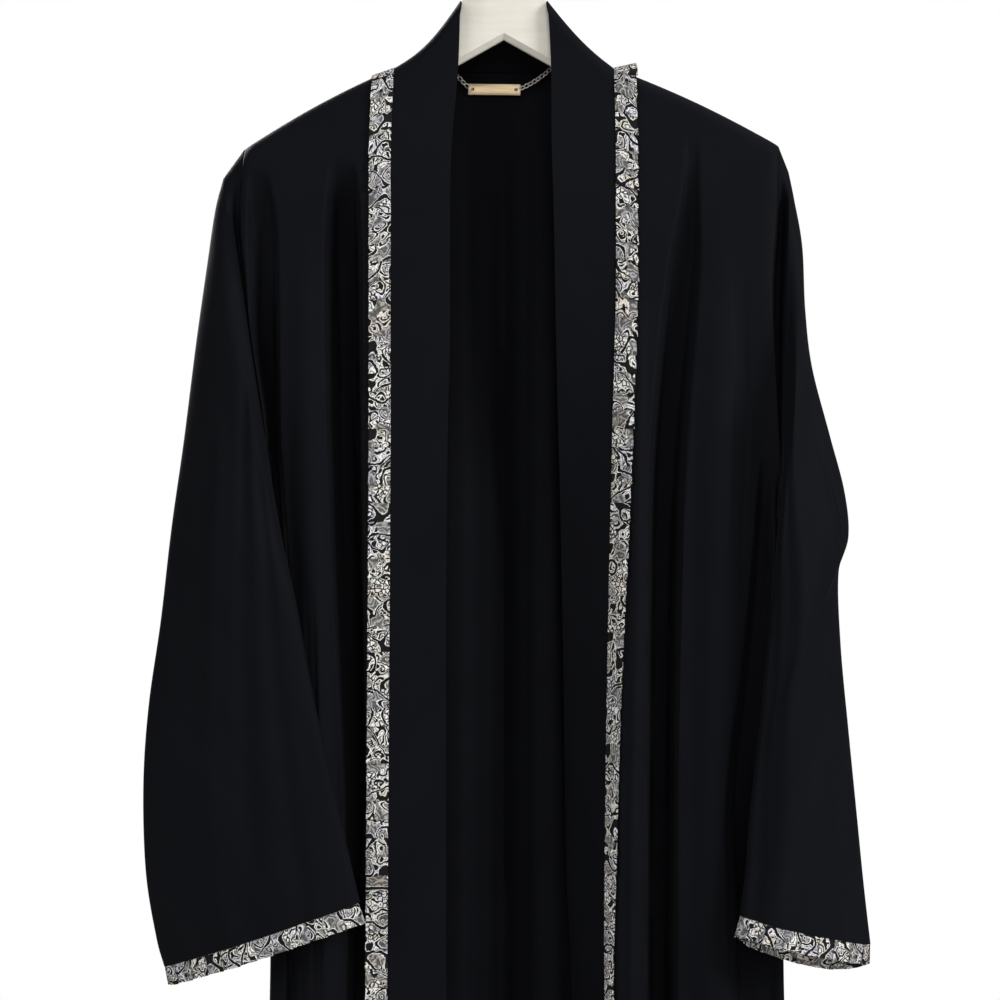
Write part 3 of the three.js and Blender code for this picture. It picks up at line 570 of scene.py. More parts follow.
# %% Paisley print
IVORY, WHITE = (0.84, 0.825, 0.78), (0.93, 0.925, 0.90)
GREY, DARK_GREY, INK = (0.20, 0.195, 0.195), (0.05, 0.05, 0.05), (0.006, 0.006, 0.007)
paisley, tree, shader = new_material(
    "paisley_print", Roughness=0.68, Sheen_Weight=0.04, Sheen_Roughness=0.5, Specular_IOR_Level=0.15
)


def maths(operation, first, second=0.0, third=0.0):
    inputs = {0: first, 1: second, 2: third}
    return add_node(tree, "Math", inputs, operation=operation).outputs[0]


def times(first, second):
    return maths("MULTIPLY", first, second)


def more_than(value, limit):
    return maths("GREATER_THAN", value, limit)


def less_than(value, limit):
    return maths("LESS_THAN", value, limit)


def vector_maths(operation, first, second):
    return add_node(tree, "VectorMath", {0: first, 1: second}, operation=operation).outputs[0]


def blend_colour(factor, first, second, blend_type="MIX"):
    inputs = {0: factor, 6: first, 7: second}
    return add_node(tree, "Mix", inputs, data_type="RGBA", blend_type=blend_type).outputs[2]


def waves(height, count):
    """The contour lines of a noise, as a wave from 0 to 1."""
    return maths("MULTIPLY_ADD", maths("SINE", times(height, count)), 0.5, 0.5)


# The print's own place wobbles, and its lines are frayed, as if drawn by hand.
uv = add_node(tree, "TexCoord").outputs["UV"]
hand = uv
for scale, reach in ((160.0, 0.0032), (620.0, 0.0011)):
    push = noise(tree, uv, scale, 1.0)["Color"]
    hand = vector_maths("ADD", hand, vector_maths("MULTIPLY", push, (reach, reach, 0.0)))


def voronoi(scale, feature="F1", randomness=1.0):
    inputs = {"Vector": hand, "Scale": scale, "Randomness": randomness}
    return add_node(tree, "TexVoronoi", inputs, voronoi_dimensions="2D", feature=feature).outputs


def chances(cells):
    """Three chance numbers for each cell."""
    return add_node(tree, "SeparateColor", {"Color": cells["Color"]}).outputs


def drops(cells_per_metre, size_mm):
    """How far from the middle of its drop a place is, from 0 to 1 at the outline, and the
    chance numbers of its cell."""
    cells = voronoi(cells_per_metre, randomness=0.7)
    chance = chances(cells)
    local = vector_maths("SUBTRACT", hand, cells["Position"])
    turn = {"Vector": local, "Angle": times(chance[0], 6.283)}
    turned = add_node(tree, "VectorRotate", turn, rotation_type="Z_AXIS").outputs[0]
    parts = add_node(tree, "SeparateXYZ", {"Vector": turned}).outputs
    x, y = (times(parts[n], 1000 / size_mm) for n in (0, 1))
    bent = maths("SUBTRACT", x, maths("MULTIPLY_ADD", times(y, y), 0.55, -0.2))
    waist = maths("MAXIMUM", maths("MULTIPLY_ADD", y, -0.42, 0.62), 0.08)
    wide = maths("DIVIDE", bent, waist)
    return maths("SQRT", maths("ADD", times(wide, wide), times(y, y))), chance


# Filigree: the contour lines of a slow noise, drawn in ivory on black.
slow = noise(tree, hand, 84.0, 1.5, 0.45)["Fac"]
filigree = ramp(
    tree, waves(slow, 42.0), [(0.0, INK), (0.44, DARK_GREY), (0.48, IVORY), (0.62, WHITE), (0.97, GREY)]
)
# Blobs: small ivory cells with black between them and a dark seed in some.
edges = voronoi(310.0, "DISTANCE_TO_EDGE")["Distance"]
seeds = voronoi(310.0)
blobs = ramp(tree, edges, [(0.0, INK), (0.13, IVORY), (0.24, WHITE)])
seeded = times(less_than(seeds["Distance"], 0.2), more_than(chances(seeds)[1], 0.55))
blobs = blend_colour(seeded, blobs, (*DARK_GREY, 1))
# Grey ground: mid grey with paler curls.
greys = ramp(
    tree, waves(slow, 61.0),
    [(0.0, (0.10, 0.10, 0.105)), (0.35, GREY), (0.7, (0.29, 0.285, 0.28)), (0.95, (0.50, 0.49, 0.47))],
    "LINEAR",
)
patch = chances(voronoi(78.0))
ground = blend_colour(more_than(patch[0], 0.62), filigree, blobs)
ground = blend_colour(more_than(patch[1], 0.60), ground, greys)
# Drops: a grey or filigree heart, a white line, a broad black band and a white line.
far, chance = drops(56.0, 7.4)
far = times(far, 0.5)
band = ramp(
    tree, far,
    [(0.0, INK), (0.07, WHITE), (0.12, INK), (0.17, GREY), (0.33, WHITE), (0.375, INK), (0.47, WHITE)],
)
heart = times(more_than(far, 0.17), less_than(far, 0.33))
heart_fill = blend_colour(more_than(chance[1], 0.5), greys, filigree)
band = blend_colour(heart, band, heart_fill)
drawn = times(less_than(far, 0.53), more_than(chance[2], 0.25))
printed = blend_colour(drawn, ground, band)
# Stems: long black curves with a white line on both sides, along one height of a slow noise.
bends = noise(tree, hand, 46.0, 0.0)["Fac"]
from_stem = maths("ABSOLUTE", maths("MULTIPLY_ADD", bends, 10.0, -5.6))
stems = ramp(tree, from_stem, [(0.0, INK), (0.24, WHITE)])
printed = blend_colour(less_than(from_stem, 0.33), printed, stems)
tints = ramp(
    tree, patch[2],
    [(0.0, (1.0, 0.99, 0.96)), (0.5, (0.90, 0.89, 0.80)), (0.62, (0.97, 0.96, 1.0)),
     (0.78, (0.95, 0.88, 0.82)), (0.9, (0.90, 0.89, 0.96))],
)
tinted = blend_colour(1.0, printed, tints, "MULTIPLY")
# A blotted screen print isn't even: a fine mottle greys the pale areas.
speck = noise(tree, uv, 760.0, 2.0, 0.6)["Fac"]
mottle = ramp(tree, speck, [(0.34, 0.3), (0.45, 0.88), (0.56, 1.0)], "LINEAR")
tree.links.new(blend_colour(1.0, tinted, mottle, "MULTIPLY"), shader.inputs["Base Color"])
threads = noise(tree, uv, 1800.0, 1.0)["Fac"]
tree.links.new(bump(tree, threads, 0.25, 0.0003), shader.inputs["Normal"])
print("Print:", len(tree.nodes), "nodes")

# %% [markdown]
# ## Fronts and their bands
# A front and its band are worked out as one surface and then cut at the seam, so that they
# meet without a step. The band folds over the neck along the 45 degree crest, and on the
# wearer's left side it turns inwards lower down, as in the photo.

# %% Fronts and bands
BAND_COLUMNS, TRIM_COLUMNS, FRONT_COLUMNS = 16, 7, 92
CLOSER = 1.12  # columns stand closer together towards the side
BAND_TURN = 2.6  # how much further the band's free edge turns back than its seam


def front_grid(side):
    sign, rows = SIGN[side], FRONT[side]
    share = np.linspace(1, 0, BAND_COLUMNS)
    z, roll = column_rows(crest(side, NECK_X - BAND_WIDTH * share), ARM_Z[side])
    x = mix(read(rows, SEAM_AT, z), read(rows, INNER_AT, z), share)
    turned_back = read(rows, TURN_AT, z) * (1 + BAND_TURN * share)
    band = np.stack([sign * x, -SEAM / 2 - roll * (read(rows, DEEP_AT, z) - turned_back), z], -1)
    away = np.concatenate([np.linspace(0, TRIM_WIDTH, TRIM_COLUMNS)[1:], np.full(FRONT_COLUMNS, TRIM_WIDTH)])
    spread = np.linspace(0, 1, FRONT_COLUMNS + 1)[1:]
    share = np.concatenate([np.zeros(TRIM_COLUMNS - 1), 1 - (1 - spread) ** CLOSER])
    z, roll = column_rows(crest(side, mix(NECK_X + away, SHOULDER_X[side], share)), ARM_Z[side])
    turned = np.minimum(0.9, read(rows, TURN_AT, z) / TRIM_WIDTH)
    start = read(rows, SEAM_AT, z) + away * np.sqrt(1 - turned**2)
    edge = read(rows, SIDE_AT, z)
    x = np.minimum(mix(start, edge, share), edge - SEAM / 2)
    panel = np.stack([sign * x, -SEAM / 2 - roll * front_depth(side, x, z), z], -1)
    grid = np.concatenate([band, panel], axis=1)
    above, below = slice(0, UNDERARM_ROW), slice(UNDERARM_ROW, None)
    last = grid.shape[1] - 1
    no_share = [(0, slice(None), 1), (above, last, 0), (below, last, 1), (below, last, 2)]
    return grid, outward(grid, -sign, no_share)


def cut_at(grid, column, keep_after):
    kept = grid[:, column:].copy() if keep_after else grid[:, : column + 1].copy()
    edge, following = (0, 1) if keep_after else (-1, -2)
    step = kept[:, following] - kept[:, edge]
    kept[:, edge] += unit(step) * SEAM / 2
    return kept


def flat_uv(grid, wrap=False):
    return np.stack([
        lengths(grid, 1, wrap),
        lengths(np.concatenate([grid, grid[:, :1]], 1) if wrap else grid, 0),
    ], -1)


areas, made_cloth = {}, {}


def sew(name, grid, out, thick, wrap=False):
    """Makes a node's piece of crepe from its face and the way out of it."""
    piece = cloth_wall(name + "_cloth", grid, grid - out * thick, flat_uv(grid, wrap), wrap)
    sharp_rims(piece)
    settle(piece, name, crepe)
    areas[name], made_cloth[name] = cloth_area(grid, wrap), piece
    print(name, "area", round(areas[name], 4), "m2,", len(piece.data.polygons), "faces")


fronts = {side: front_grid(side) for side in SIGN}
cut = BAND_COLUMNS - 1
for side, (grid, out) in fronts.items():
    sew(f"front_{side}", cut_at(grid, cut, True), out[:, cut:], CREPE)
    sew(f"band_{side}", cut_at(grid, cut, False), out[:, : cut + 1], BAND)

# %% [markdown]
# ## Back
# The back hangs from the crests and bows out behind the hanger's neck. Its deep folds show
# through the open front, so they are listed one by one like those of the fronts.

# %% Back
BACK_SIDE_COLUMNS, NECK_COLUMNS = 52, 26
BACK_CLOSER, NECK_DIP = 1.15, 5.5


def seam_height(x):
    return NECK_Z + NECK_DIP * np.clip(1 - (x / NECK_X) ** 2, 0, 1)


def back_half(side):
    sign, rows = SIGN[side], FRONT[side]
    spread = np.linspace(1, 0, BACK_SIDE_COLUMNS + 1)[:-1]
    share = np.concatenate([1 - (1 - spread) ** BACK_CLOSER, np.zeros(NECK_COLUMNS)])
    near = np.sin(np.linspace(np.pi / 2, 0, NECK_COLUMNS))
    neck = np.concatenate([np.ones(BACK_SIDE_COLUMNS), near])
    end = SHOULDER_X[side]
    top_x = mix(NECK_X * neck, end, share)
    on_neck = (neck < 1) & (share == 0)
    from_crest = np.where(on_neck, (NECK_X - top_x) / ROLL, 0)
    z, roll = column_rows(np.where(on_neck, seam_height(top_x), crest(side, top_x)), ARM_Z[side])
    edge = read(rows, SIDE_AT, z)
    x = np.minimum(mix(NECK_X * neck * edge / end, edge, share), edge - SEAM / 2)
    gap = np.where(share == 1, -SEAM / 2, SEAM / 2)
    y = gap + np.maximum(roll, rounded(from_crest)) * back_depth(sign * x, z)
    return np.stack([sign * x, y, z], -1)


right_half, left_half = back_half("right"), back_half("left")
back_grid = np.concatenate([right_half, left_half[:, :-1][:, ::-1]], axis=1)
above, below = slice(0, UNDERARM_ROW), slice(UNDERARM_ROW, None)
first_neck, last_neck = BACK_SIDE_COLUMNS, BACK_SIDE_COLUMNS + 2 * NECK_COLUMNS - 2
no_share = [(0, slice(None, first_neck + 1), 1), (0, slice(last_neck, None), 1),
            (0, slice(first_neck + 1, last_neck), 2)]
for column in (0, back_grid.shape[1] - 1):
    no_share += [(above, column, 0), (below, column, 1), (below, column, 2)]
sew("back", back_grid, outward(back_grid, 1, no_share), CREPE)

# %% [markdown]
# ## Back neck band
# The front bands join in a straight band round the back of the neck. Its seam follows the
# back's neck edge, and its top edge leans in towards the hook.

# %% Back neck band
NECK_BAND_ROWS = 20
LAP_IN, LAP_DOWN = BAND + 0.2, 2.2  # its lower edge lies inside the back and laps over the seam


def neck_band_grid(seam_line):
    rows = []
    for share in np.linspace(0, 1, NECK_BAND_ROWS):
        width = (NECK_X - BAND_WIDTH * share) / NECK_X
        x = seam_line[:, 0] * width
        over = rounded((NECK_X - np.abs(seam_line[:, 0])) * width / ROLL)
        bow = NECK_BOW * width**1.2 * np.clip(1 - (seam_line[:, 0] / NECK_X) ** 2, 0, 1)
        y = mix(seam_line[:, 1], SEAM / 2 + over * (ROLL + 1) + bow, smooth(share * 3))
        lap = 1 - smooth(share * 9)
        y = y - lap * LAP_IN
        hollow = np.where(seam_line[:, 0] < 0, NECK_SAG["right"], NECK_SAG["left"])
        sunk = hollow * np.sin(np.pi * share) * (seam_line[:, 0] / NECK_X) ** 2
        z = seam_line[:, 2] + SEAM + BAND_WIDTH * share * (1 + 0.02 * share) - LAP_DOWN * lap - sunk
        rows.append(np.stack([x, y, z], -1))
    return np.array(rows)


neck_band = neck_band_grid(back_grid[0, first_neck : last_neck + 1])
neck_out = outward(neck_band, -1, [(0, slice(None), 2), (slice(None), 0, 1), (slice(None), -1, 1)])
sew("band_neck", neck_band, neck_out, BAND)

# %% [markdown]
# ## Sleeves
# A sleeve is a tube of sections. Each row gives the outer and inner edge, how far each lies
# back, half the tube's thickness, and how far the back edge hangs below the front one. The
# first ring is the armhole itself. The folds run from the armhole to the cuff.

# %% Sleeves
SLEEVES = {
    "right": [
        (-213, -231, 0, -175.5, -452, -24, 18, 0), (-219, -255, -1, -173.5, -466, -27, 18, 0),
        (-225, -297, -3, -170, -483, -31, 17, 0), (-233, -356, -6, -164, -512, -35, 15, 0),
        (-242, -430, -9, -155, -549, -42, 12, 0), (-251, -496, -12, -147, -592, -44, 11, 0),
        (-259, -566, -13, -137, -642, -44, 11, 0), (-268, -630, -14, -126, -692, -44, 11, 0),
        (-272, -690, -14, -116, -735, -44, 11, 0), (-270, -755, -15, -109, -765, -44, 11, 0),
        (-262, -804, -16, -108, -770, -44, 11, 0), (-256, -826, -16, -107, -773.5, -44, 11, 0),
    ],
    "left": [
        (216, -226, 0, 207, -478, -26, 16, 0), (220, -246, -1, 205.5, -490, -32, 15, 0),
        (226, -282, -3, 203.5, -508, -36, 14, 0), (228, -330, -5, 201, -536, -37, 15, 0),
        (233, -374, -7, 199, -560, -39, 13, 0), (246, -425, -9, 196, -586, -41, 12, 0),
        (257, -468, -11, 193, -612, -41, 12, 0), (260, -502, -12, 191, -636, -41, 12, 1),
        (252.5, -530, -12, 188, -662, -41, 12, 2), (254, -585, -13, 185, -688, -41, 12, 4),
        (260, -650, -13, 182, -716, -41, 12, 6), (266, -712, -14, 180, -745, -42, 12, 9),
        (271, -764, -15, 177, -768, -44, 13, 9), (276, -809, -16, 175, -783, -46, 14, 12.5),
    ],
}
# Each fold: share across the sleeve at its start and end, where along the sleeve it runs,
# half its width as a share, and its depth.
SLEEVE_FOLDS = {
    "right": [(0.62, 0.5, 0.12, 0.75, 0.1, 3), (0.3, 0.36, 0.3, 1, 0.1, -2.5),
              (0.8, 0.72, 0.2, 1, 0.09, 2.5)],
    "left": [(0.36, 0.74, 0.12, 1, 0.2, -4.5), (0.9, 0.9, 0.2, 1, 0.09, 3), (0.3, 0.3, 0.45, 1, 0.14, 2.5),
             (0.15, 0.11, 0.34, 0.5, 0.045, 4)],
}
# The hollow of the sleeve's face beside the armhole: how deep, and where along it ends. The
# seam itself pulls the sleeve in behind the front's edge, in a narrow trench.
SLEEVE_HOLLOW = {"right": (6, 0.08), "left": (13, 0.12)}
HOLLOW_MIDDLE, HOLLOW_HALF = 0.45, 0.6
SLEEVE_TRENCH = {"right": 8, "left": 14}
RING, JOINING_ROWS, ROWS_PER_SECTION = 112, 10, 15
FADE = 0.15  # the share of the sleeve's length over which a fold begins and ends
ring_angles = 2 * np.pi * np.arange(RING) / RING


def section(side, at, angle):
    """Points of the tube, where at is a row of the table, whole or between two."""
    rows = np.column_stack([np.arange(len(SLEEVES[side])), SLEEVES[side]])
    out_x, out_z, out_y, in_x, in_z, in_y, half, tip = (read(rows, n, at)[:, None] for n in range(1, 9))
    along = ((at + 1) / len(SLEEVES[side]))[:, None]
    across = (1 - np.cos(angle)) / 2
    face = np.where(np.sin(angle) >= 0, -1, 1)
    folds = np.zeros((len(at), len(angle)))
    for start, end, begin, finish, width, deep in SLEEVE_FOLDS[side]:
        strength = smooth((along - begin) / FADE) * smooth((finish + FADE - along) / FADE)
        folds += deep * strength * hump(np.abs(across - mix(start, end, along)) / width)
    deep, finish = SLEEVE_HOLLOW[side]
    beside = smooth((finish + FADE - along) / FADE) * hump(np.abs(across - HOLLOW_MIDDLE) / HOLLOW_HALF)
    folds += np.where(face < 0, deep * beside, 0)
    behind = np.where(face > 0, np.abs(np.sin(angle)), 0)
    forward = 1 - (1 - across) ** 2.5
    thick = half * np.abs(np.sin(angle)) ** 0.7
    x = mix(out_x, in_x, across)
    z = mix(out_z, in_z, across) - tip * behind
    ease = uneven(x * 0.8, z, 0.7 if side == "right" else 2.3) * smooth(along / 0.2)
    y = mix(out_y, in_y, forward) + face * (thick + (ease - folds) * np.abs(np.sin(angle)))
    return np.stack([x, y, z], -1)


def sleeve_grid(side):
    rows = len(SLEEVES[side])
    sections = section(side, np.linspace(0, rows - 1, ROWS_PER_SECTION * rows), ring_angles)
    t = (1 - np.cos(ring_angles)) / 2
    x, z, front, back = armhole(side, t)
    y = np.where(np.sin(ring_angles) >= -1e-9, -front, back)
    ring = np.stack([SIGN[side] * (x + SEAM / 2), y, z], -1)
    deep = SLEEVE_TRENCH[side] * rounded(np.sin(ring_angles)) * smooth((t - 0.03) / 0.2)
    trench = np.stack([0 * deep, deep, 0 * deep], -1)
    joining = [
        mix(ring, sections[0], share) + trench * np.sin(np.pi * share) ** 0.7
        for share in np.linspace(0, 1, JOINING_ROWS + 1)[:-1]
    ]
    return np.concatenate([np.array(joining), sections])


sleeve_ends = {}
for side in SIGN:
    grid = sleeve_grid(side)
    out = outward(grid, SIGN[side], [(0, slice(None), 0), (-1, slice(None), 2)], wrap=True)
    sew(f"sleeve_{side}", grid, out, CREPE, wrap=True)
    sleeve_ends[side] = grid[-1]

# %% [markdown]
# ## Knife-pleated trim
# A knife pleat is a strip folded into a Z: each face runs on under the next fold, turns, and
# comes back. The profile below is one pleat seen from the side. It is repeated along a track
# that lies on the cloth, and the strip stands off more at its free edge than at its seam.

# %% Pleated strip
# Place along the pleat as a share of its pitch, and height over the cloth in mm.
PLEAT_PROFILE = [(-0.28, 0.3), (-0.2, 0.2), (0.0, 0.5), (0.4, 1.15), (0.72, 1.8), (0.95, 2.25), (1.0, 2.1),
                 (0.99, 1.6), (0.93, 1.1), (0.78, 0.65)]
PLEAT_TOP, STRIP_END = 2.25, 0.8  # the profile's highest place, and the height of a strip's end
UV_COLUMN = 4  # the print's place along the strip is measured down this column of its grid


def on_track(track, length, at):
    """Rows of the track at distances along it."""
    i = np.clip(np.searchsorted(length, at, side="right") - 1, 0, len(length) - 2)
    t = ((at - length[i]) / (length[i + 1] - length[i]))[:, None, None]
    return track[i] + (track[i + 1] - track[i]) * t


def pleated_trim(node, track, directions, lift, ragged, closed=False):
    """track is [place along][from seam to free edge] points on the cloth. ragged is how far
    a fold's free edge reaches past the next one, in mm."""
    middle = track[:, track.shape[1] // 2]
    length = np.concatenate([[0], np.cumsum(np.linalg.norm(np.diff(middle, axis=0), axis=1))])
    total = length[-1]
    pleats = max(1, round(total / PITCH))
    pitch = total / pleats
    profile = np.array(PLEAT_PROFILE)
    at, height = [], []
    for k in range(pleats):
        worn = 1 + 0.16 * math.sin(2.4 * k) + 0.1 * math.sin(5.1 * k + 1)
        at.append((profile[:, 0] + k) * pitch)
        height.append(profile[:, 1] * worn)
    at, height = np.concatenate(at), np.concatenate(height)
    at = np.append(at, total)
    height = np.append(height, height[0] if closed else STRIP_END)
    wrapped = np.append(at[:-1] % total, 0) if closed else np.clip(at, 0, total)
    base = on_track(track, length, wrapped)
    out = unit(on_track(directions, length, wrapped))
    share = np.linspace(0, 1, track.shape[1])
    across = unit(on_track((track[:, -1] - track[:, 0])[:, None], length, wrapped))
    fold = height[:, None] / PLEAT_TOP
    standing = SEAM + height[:, None] * mix(0.35, 1.0, share) + lift(wrapped)[:, None] * share
    reach = (fold - 0.5) * ragged * share**3
    outer = base + out * standing[..., None] + across * reach[..., None]
    along = np.gradient(outer, axis=0)
    if closed:
        along[0] = along[-1] = (outer[1] - outer[-2]) / 2
    normal = unit(np.cross(along, np.gradient(outer, axis=1)))
    inner = outer - normal * np.sign((normal[1] * out[1]).sum()) * TRIM
    uv = np.stack([lengths(outer, 0), lengths(outer, 1)], -1)
    uv[..., 0] = uv[:, UV_COLUMN, None, 0]
    name = node + "_pleats"
    if closed:
        face, behind = outer[:-1].swapaxes(0, 1), inner[:-1].swapaxes(0, 1)
        piece = cloth_wall(name, face, behind, uv.swapaxes(0, 1), wrap=True)
    else:
        piece = cloth_wall(name, outer, inner, uv)
    sharp_rims(piece, 40)
    settle(piece, node, paisley)
    areas[node], made_cloth[node] = cloth_area(outer), piece
    print(name, pleats, "pleats of", round(pitch, 1), "mm,", len(piece.data.polygons), "faces")


CREST_LIFT = {"right": 0.0, "left": 9}  # how far the trims stand off at the shoulder
CREST_REACH = 28
RAGGED = {"right": 0.6, "left": 1.4}
for side, (grid, out) in fronts.items():
    track = cut_at(grid, cut, True)[:, :TRIM_COLUMNS]
    directions = np.repeat(out[:, cut + TRIM_COLUMNS // 2][:, None], TRIM_COLUMNS, axis=1)
    directions = directions * (0.2, 1, 1)

    def lift(at, most=CREST_LIFT[side]):
        return 0.8 + most * smooth(1 - at / CREST_REACH)

    pleated_trim(f"trim_{side}", track, directions, lift, RAGGED[side])

# %% Trim of the cuffs
CUFF_LEAN = {"right": 0.3, "left": -0.17}  # the strip hangs square to the cuff's slanting edge
for side in SIGN:
    end = sleeve_ends[side]
    ring = np.concatenate([end, end[:1]])
    centre = (end.max(0) + end.min(0)) / 2
    slope = np.gradient(ring, axis=0)
    slope[0] = slope[-1] = ring[1] - ring[-2]
    out = np.cross(slope, (0, 0, 1))
    out = unit(out * np.sign((out * (ring - centre)).sum()))
    hang = np.array((CUFF_LEAN[side], 0, -1)) * CUFF_TRIM_WIDTH / math.hypot(CUFF_LEAN[side], 1)
    down = np.linspace(0, 1, TRIM_COLUMNS)[None, :, None] * hang
    track = ring[:, None] + down + np.array((0, 0, -SEAM)) - out[:, None] * 1.2
    directions = np.repeat(out[:, None], TRIM_COLUMNS, axis=1)
    pleated_trim(f"cuff_trim_{side}", track, directions, lambda at: 0 * at + 0.6, 0.7, closed=True)

# %% Trim of the back neck
NECK_TURN_OVER, NECK_TURN = 30, 0.72 * np.pi / 2  # the strip swings outwards near the crests
NECK_TRIM_SETS_IN = 0.9  # the strip hangs on a slanted seam, so it reaches less far down


def neck_trim_track():
    t = np.linspace(-1, 1, 73)
    sign = np.where(t < 0, -1, 1)
    x = NECK_X * sign * np.abs(t) ** 0.8
    turn = smooth((np.abs(x) - NECK_X + NECK_TURN_OVER) / NECK_TURN_OVER) * NECK_TURN
    columns = []
    for share in np.linspace(0, 1, TRIM_COLUMNS):
        px = x + sign * share * TRIM_WIDTH * np.sin(turn)
        drop = (0.8 + share * TRIM_WIDTH * np.cos(turn)) * NECK_TRIM_SETS_IN
        beyond = np.where(sign < 0, crest("right", np.abs(px)), crest("left", np.abs(px)))
        z = np.where(np.abs(px) < NECK_X, seam_height(px), beyond) - drop
        over = np.maximum(rounded((NECK_X - np.abs(px)) / ROLL), rounded(drop / ROLL))
        columns.append(np.stack([px, SEAM / 2 + over * back_depth(px, z), z], -1))
    track = np.stack(columns, 1)
    along = np.gradient(track[:, TRIM_COLUMNS // 2], axis=0)
    out = np.cross(along, track[:, -1] - track[:, 0])
    out = unit(out * np.where(out[:, 1:2] < 0, -1, 1))
    return track, np.repeat(out[:, None], TRIM_COLUMNS, axis=1)


track, directions = neck_trim_track()
pleated_trim("trim_neck", track, directions, lambda at: 0 * at + 1.8, 1.3)

# %% [markdown]
# ## Hanger
# Each arm is cut from a 12 mm board, rounded along its edges and painted ivory; the two meet
# in a mitre. An arm starts as a block at the mitre, and its end face is pulled out station by
# station along the board's outline.

# %% Ivory paint
wood = hard_finish(
    "ivory_paint", (1.0, 6.0, 9.0), (16.0, 6.0, 0.6),
    [(0.3, (0.69, 0.645, 0.55)), (0.7, (0.76, 0.72, 0.635))], (0.08, 0.0006),
    Roughness=0.42, Coat_Weight=0.25, Coat_Roughness=0.25,
)
print("Hanger finish:", wood.name)

# %% Arms
HANGER_THICK, UNDER_Z, TIP_X, TIP_LOW, HANGER_TOP = 12, -125.5, 205, -240, -77
MITRE, CHAMFER, ROUNDING = 0.01, 3.8, 1.8  # a broad chamfer below, a small rounding above
UNDER_CLOTH = 3.4  # the board's top lies this far below the crest of the cloth


def select_edges(mesh, test):
    bpy.context.tool_settings.mesh_select_mode = (False, True, False)
    mode("EDIT")
    bpy.ops.mesh.select_all(action="DESELECT")
    mode("OBJECT")
    for edge in mesh.edges:
        a, b = (mesh.vertices[n].co for n in edge.vertices)
        edge.select = test(a, b)


def bevel_selected(offset, segments):
    mode("EDIT")
    bpy.ops.mesh.bevel(offset=offset * MM, segments=segments, affect="EDGES")
    bpy.ops.mesh.select_mode(type="VERT")
    mode("OBJECT")


def arm_stations(side):
    """Distance from the mitre, and the board's top and underside there."""
    under = lambda x: mix(UNDER_Z, TIP_LOW, x / TIP_X)
    tops = [(MITRE, HANGER_TOP), (12, HANGER_TOP), (26, HANGER_TOP - 5)]
    for x in (33, 45, 58, 70, NECK_X - 1, 120, 160, SHOULDER_X[side] - 12):
        tops.append((x, float(crest(side, x)) - UNDER_CLOTH))
    stations = [(x, top, under(x)) for x, top in tops]
    end = SHOULDER_X[side]
    stations.append((end - 4, float(crest(side, end - 4)) - UNDER_CLOTH - 4, under(end - 6) + 1))
    stations.append((end - 0.5, float(crest(side, end)) - UNDER_CLOTH - 10, under(end - 6) + 5))
    return stations


def move_end(sign, x, top, under, before):
    """Moves the selected end face to the next station and gives it its height."""
    old_middle, old_height = (before[1] + before[2]) / 2, before[1] - before[2]
    middle, height = (top + under) / 2, top - under
    bpy.ops.transform.translate(value=(sign * (x - before[0]) * MM, 0, (middle - old_middle) * MM))
    bpy.ops.transform.resize(value=(1, 1, height / old_height), center_override=(0, 0, middle * MM))


def hanger_arm(side):
    sign, stations = SIGN[side], arm_stations(side)
    first, second = stations[0], stations[1]
    deselect()
    middle = ((first[0] + second[0]) / 2 * sign * MM, 0, (first[1] + first[2]) / 2 * MM)
    bpy.ops.mesh.primitive_cube_add(size=1, location=middle)
    arm = bpy.context.object
    arm.scale = ((second[0] - first[0]) * MM, HANGER_THICK * MM, (first[1] - first[2]) * MM)
    bpy.ops.object.transform_apply(location=True, rotation=True, scale=True)
    mode("EDIT")
    bpy.ops.mesh.select_all(action="DESELECT")
    mode("OBJECT")
    for face in arm.data.polygons:
        face.select = face.normal.x * sign > 0.9
    mode("EDIT")
    before = (second[0], first[1], first[2])
    move_end(sign, *second, before)
    before = second
    for station in stations[2:]:
        bpy.ops.mesh.extrude_region_move()
        move_end(sign, *station, before)
        before = station
    mode("OBJECT")

    def is_low(a, b):
        x, z = (abs(a.x + b.x) / 2 / MM, (a.z + b.z) / 2 / MM)
        return z < mix(UNDER_Z, TIP_LOW, x / TIP_X) + 8

    def lengthwise(a, b):
        return abs(a.y - b.y) < 1e-6 and abs(a.x - b.x) > 1e-4

    def at_tip(a, b):
        return min(abs(a.x), abs(b.x)) > (stations[-1][0] - 1) * MM

    select_edges(arm.data, lambda a, b: lengthwise(a, b) and is_low(a, b))
    bevel_selected(CHAMFER, 1)
    select_edges(arm.data, lambda a, b: at_tip(a, b) or (lengthwise(a, b) and not is_low(a, b)))
    bevel_selected(ROUNDING, 3)
    mode("EDIT")
    bpy.ops.mesh.select_all(action="SELECT")
    bpy.ops.mesh.normals_make_consistent(inside=False)
    mode("OBJECT")
    arm.name = f"hanger_arm_{side}_board"
    sharp_rims(arm, 40)
    settle(arm, f"hanger_arm_{side}", wood)
    return arm


for side in SIGN:
    print(hanger_arm(side).name, "from", len(arm_stations(side)), "stations")

# %% [markdown]
# ## Hook
# The hook is 4 mm steel wire. A circle of wire is pulled up from the hanger, spun round the
# rail's place, and closed with a rounded end.

# %% Steel and hook
steel = hard_finish(
    "hook_steel", (1.0, 1.0, 1.0), (90.0, 5.0),
    [(0.3, (0.50, 0.51, 0.53)), (0.7, (0.63, 0.64, 0.66))], (0.05, 0.0002),
    Metallic=1.0, Roughness=0.24,
)
print("Hook finish:", steel.name)

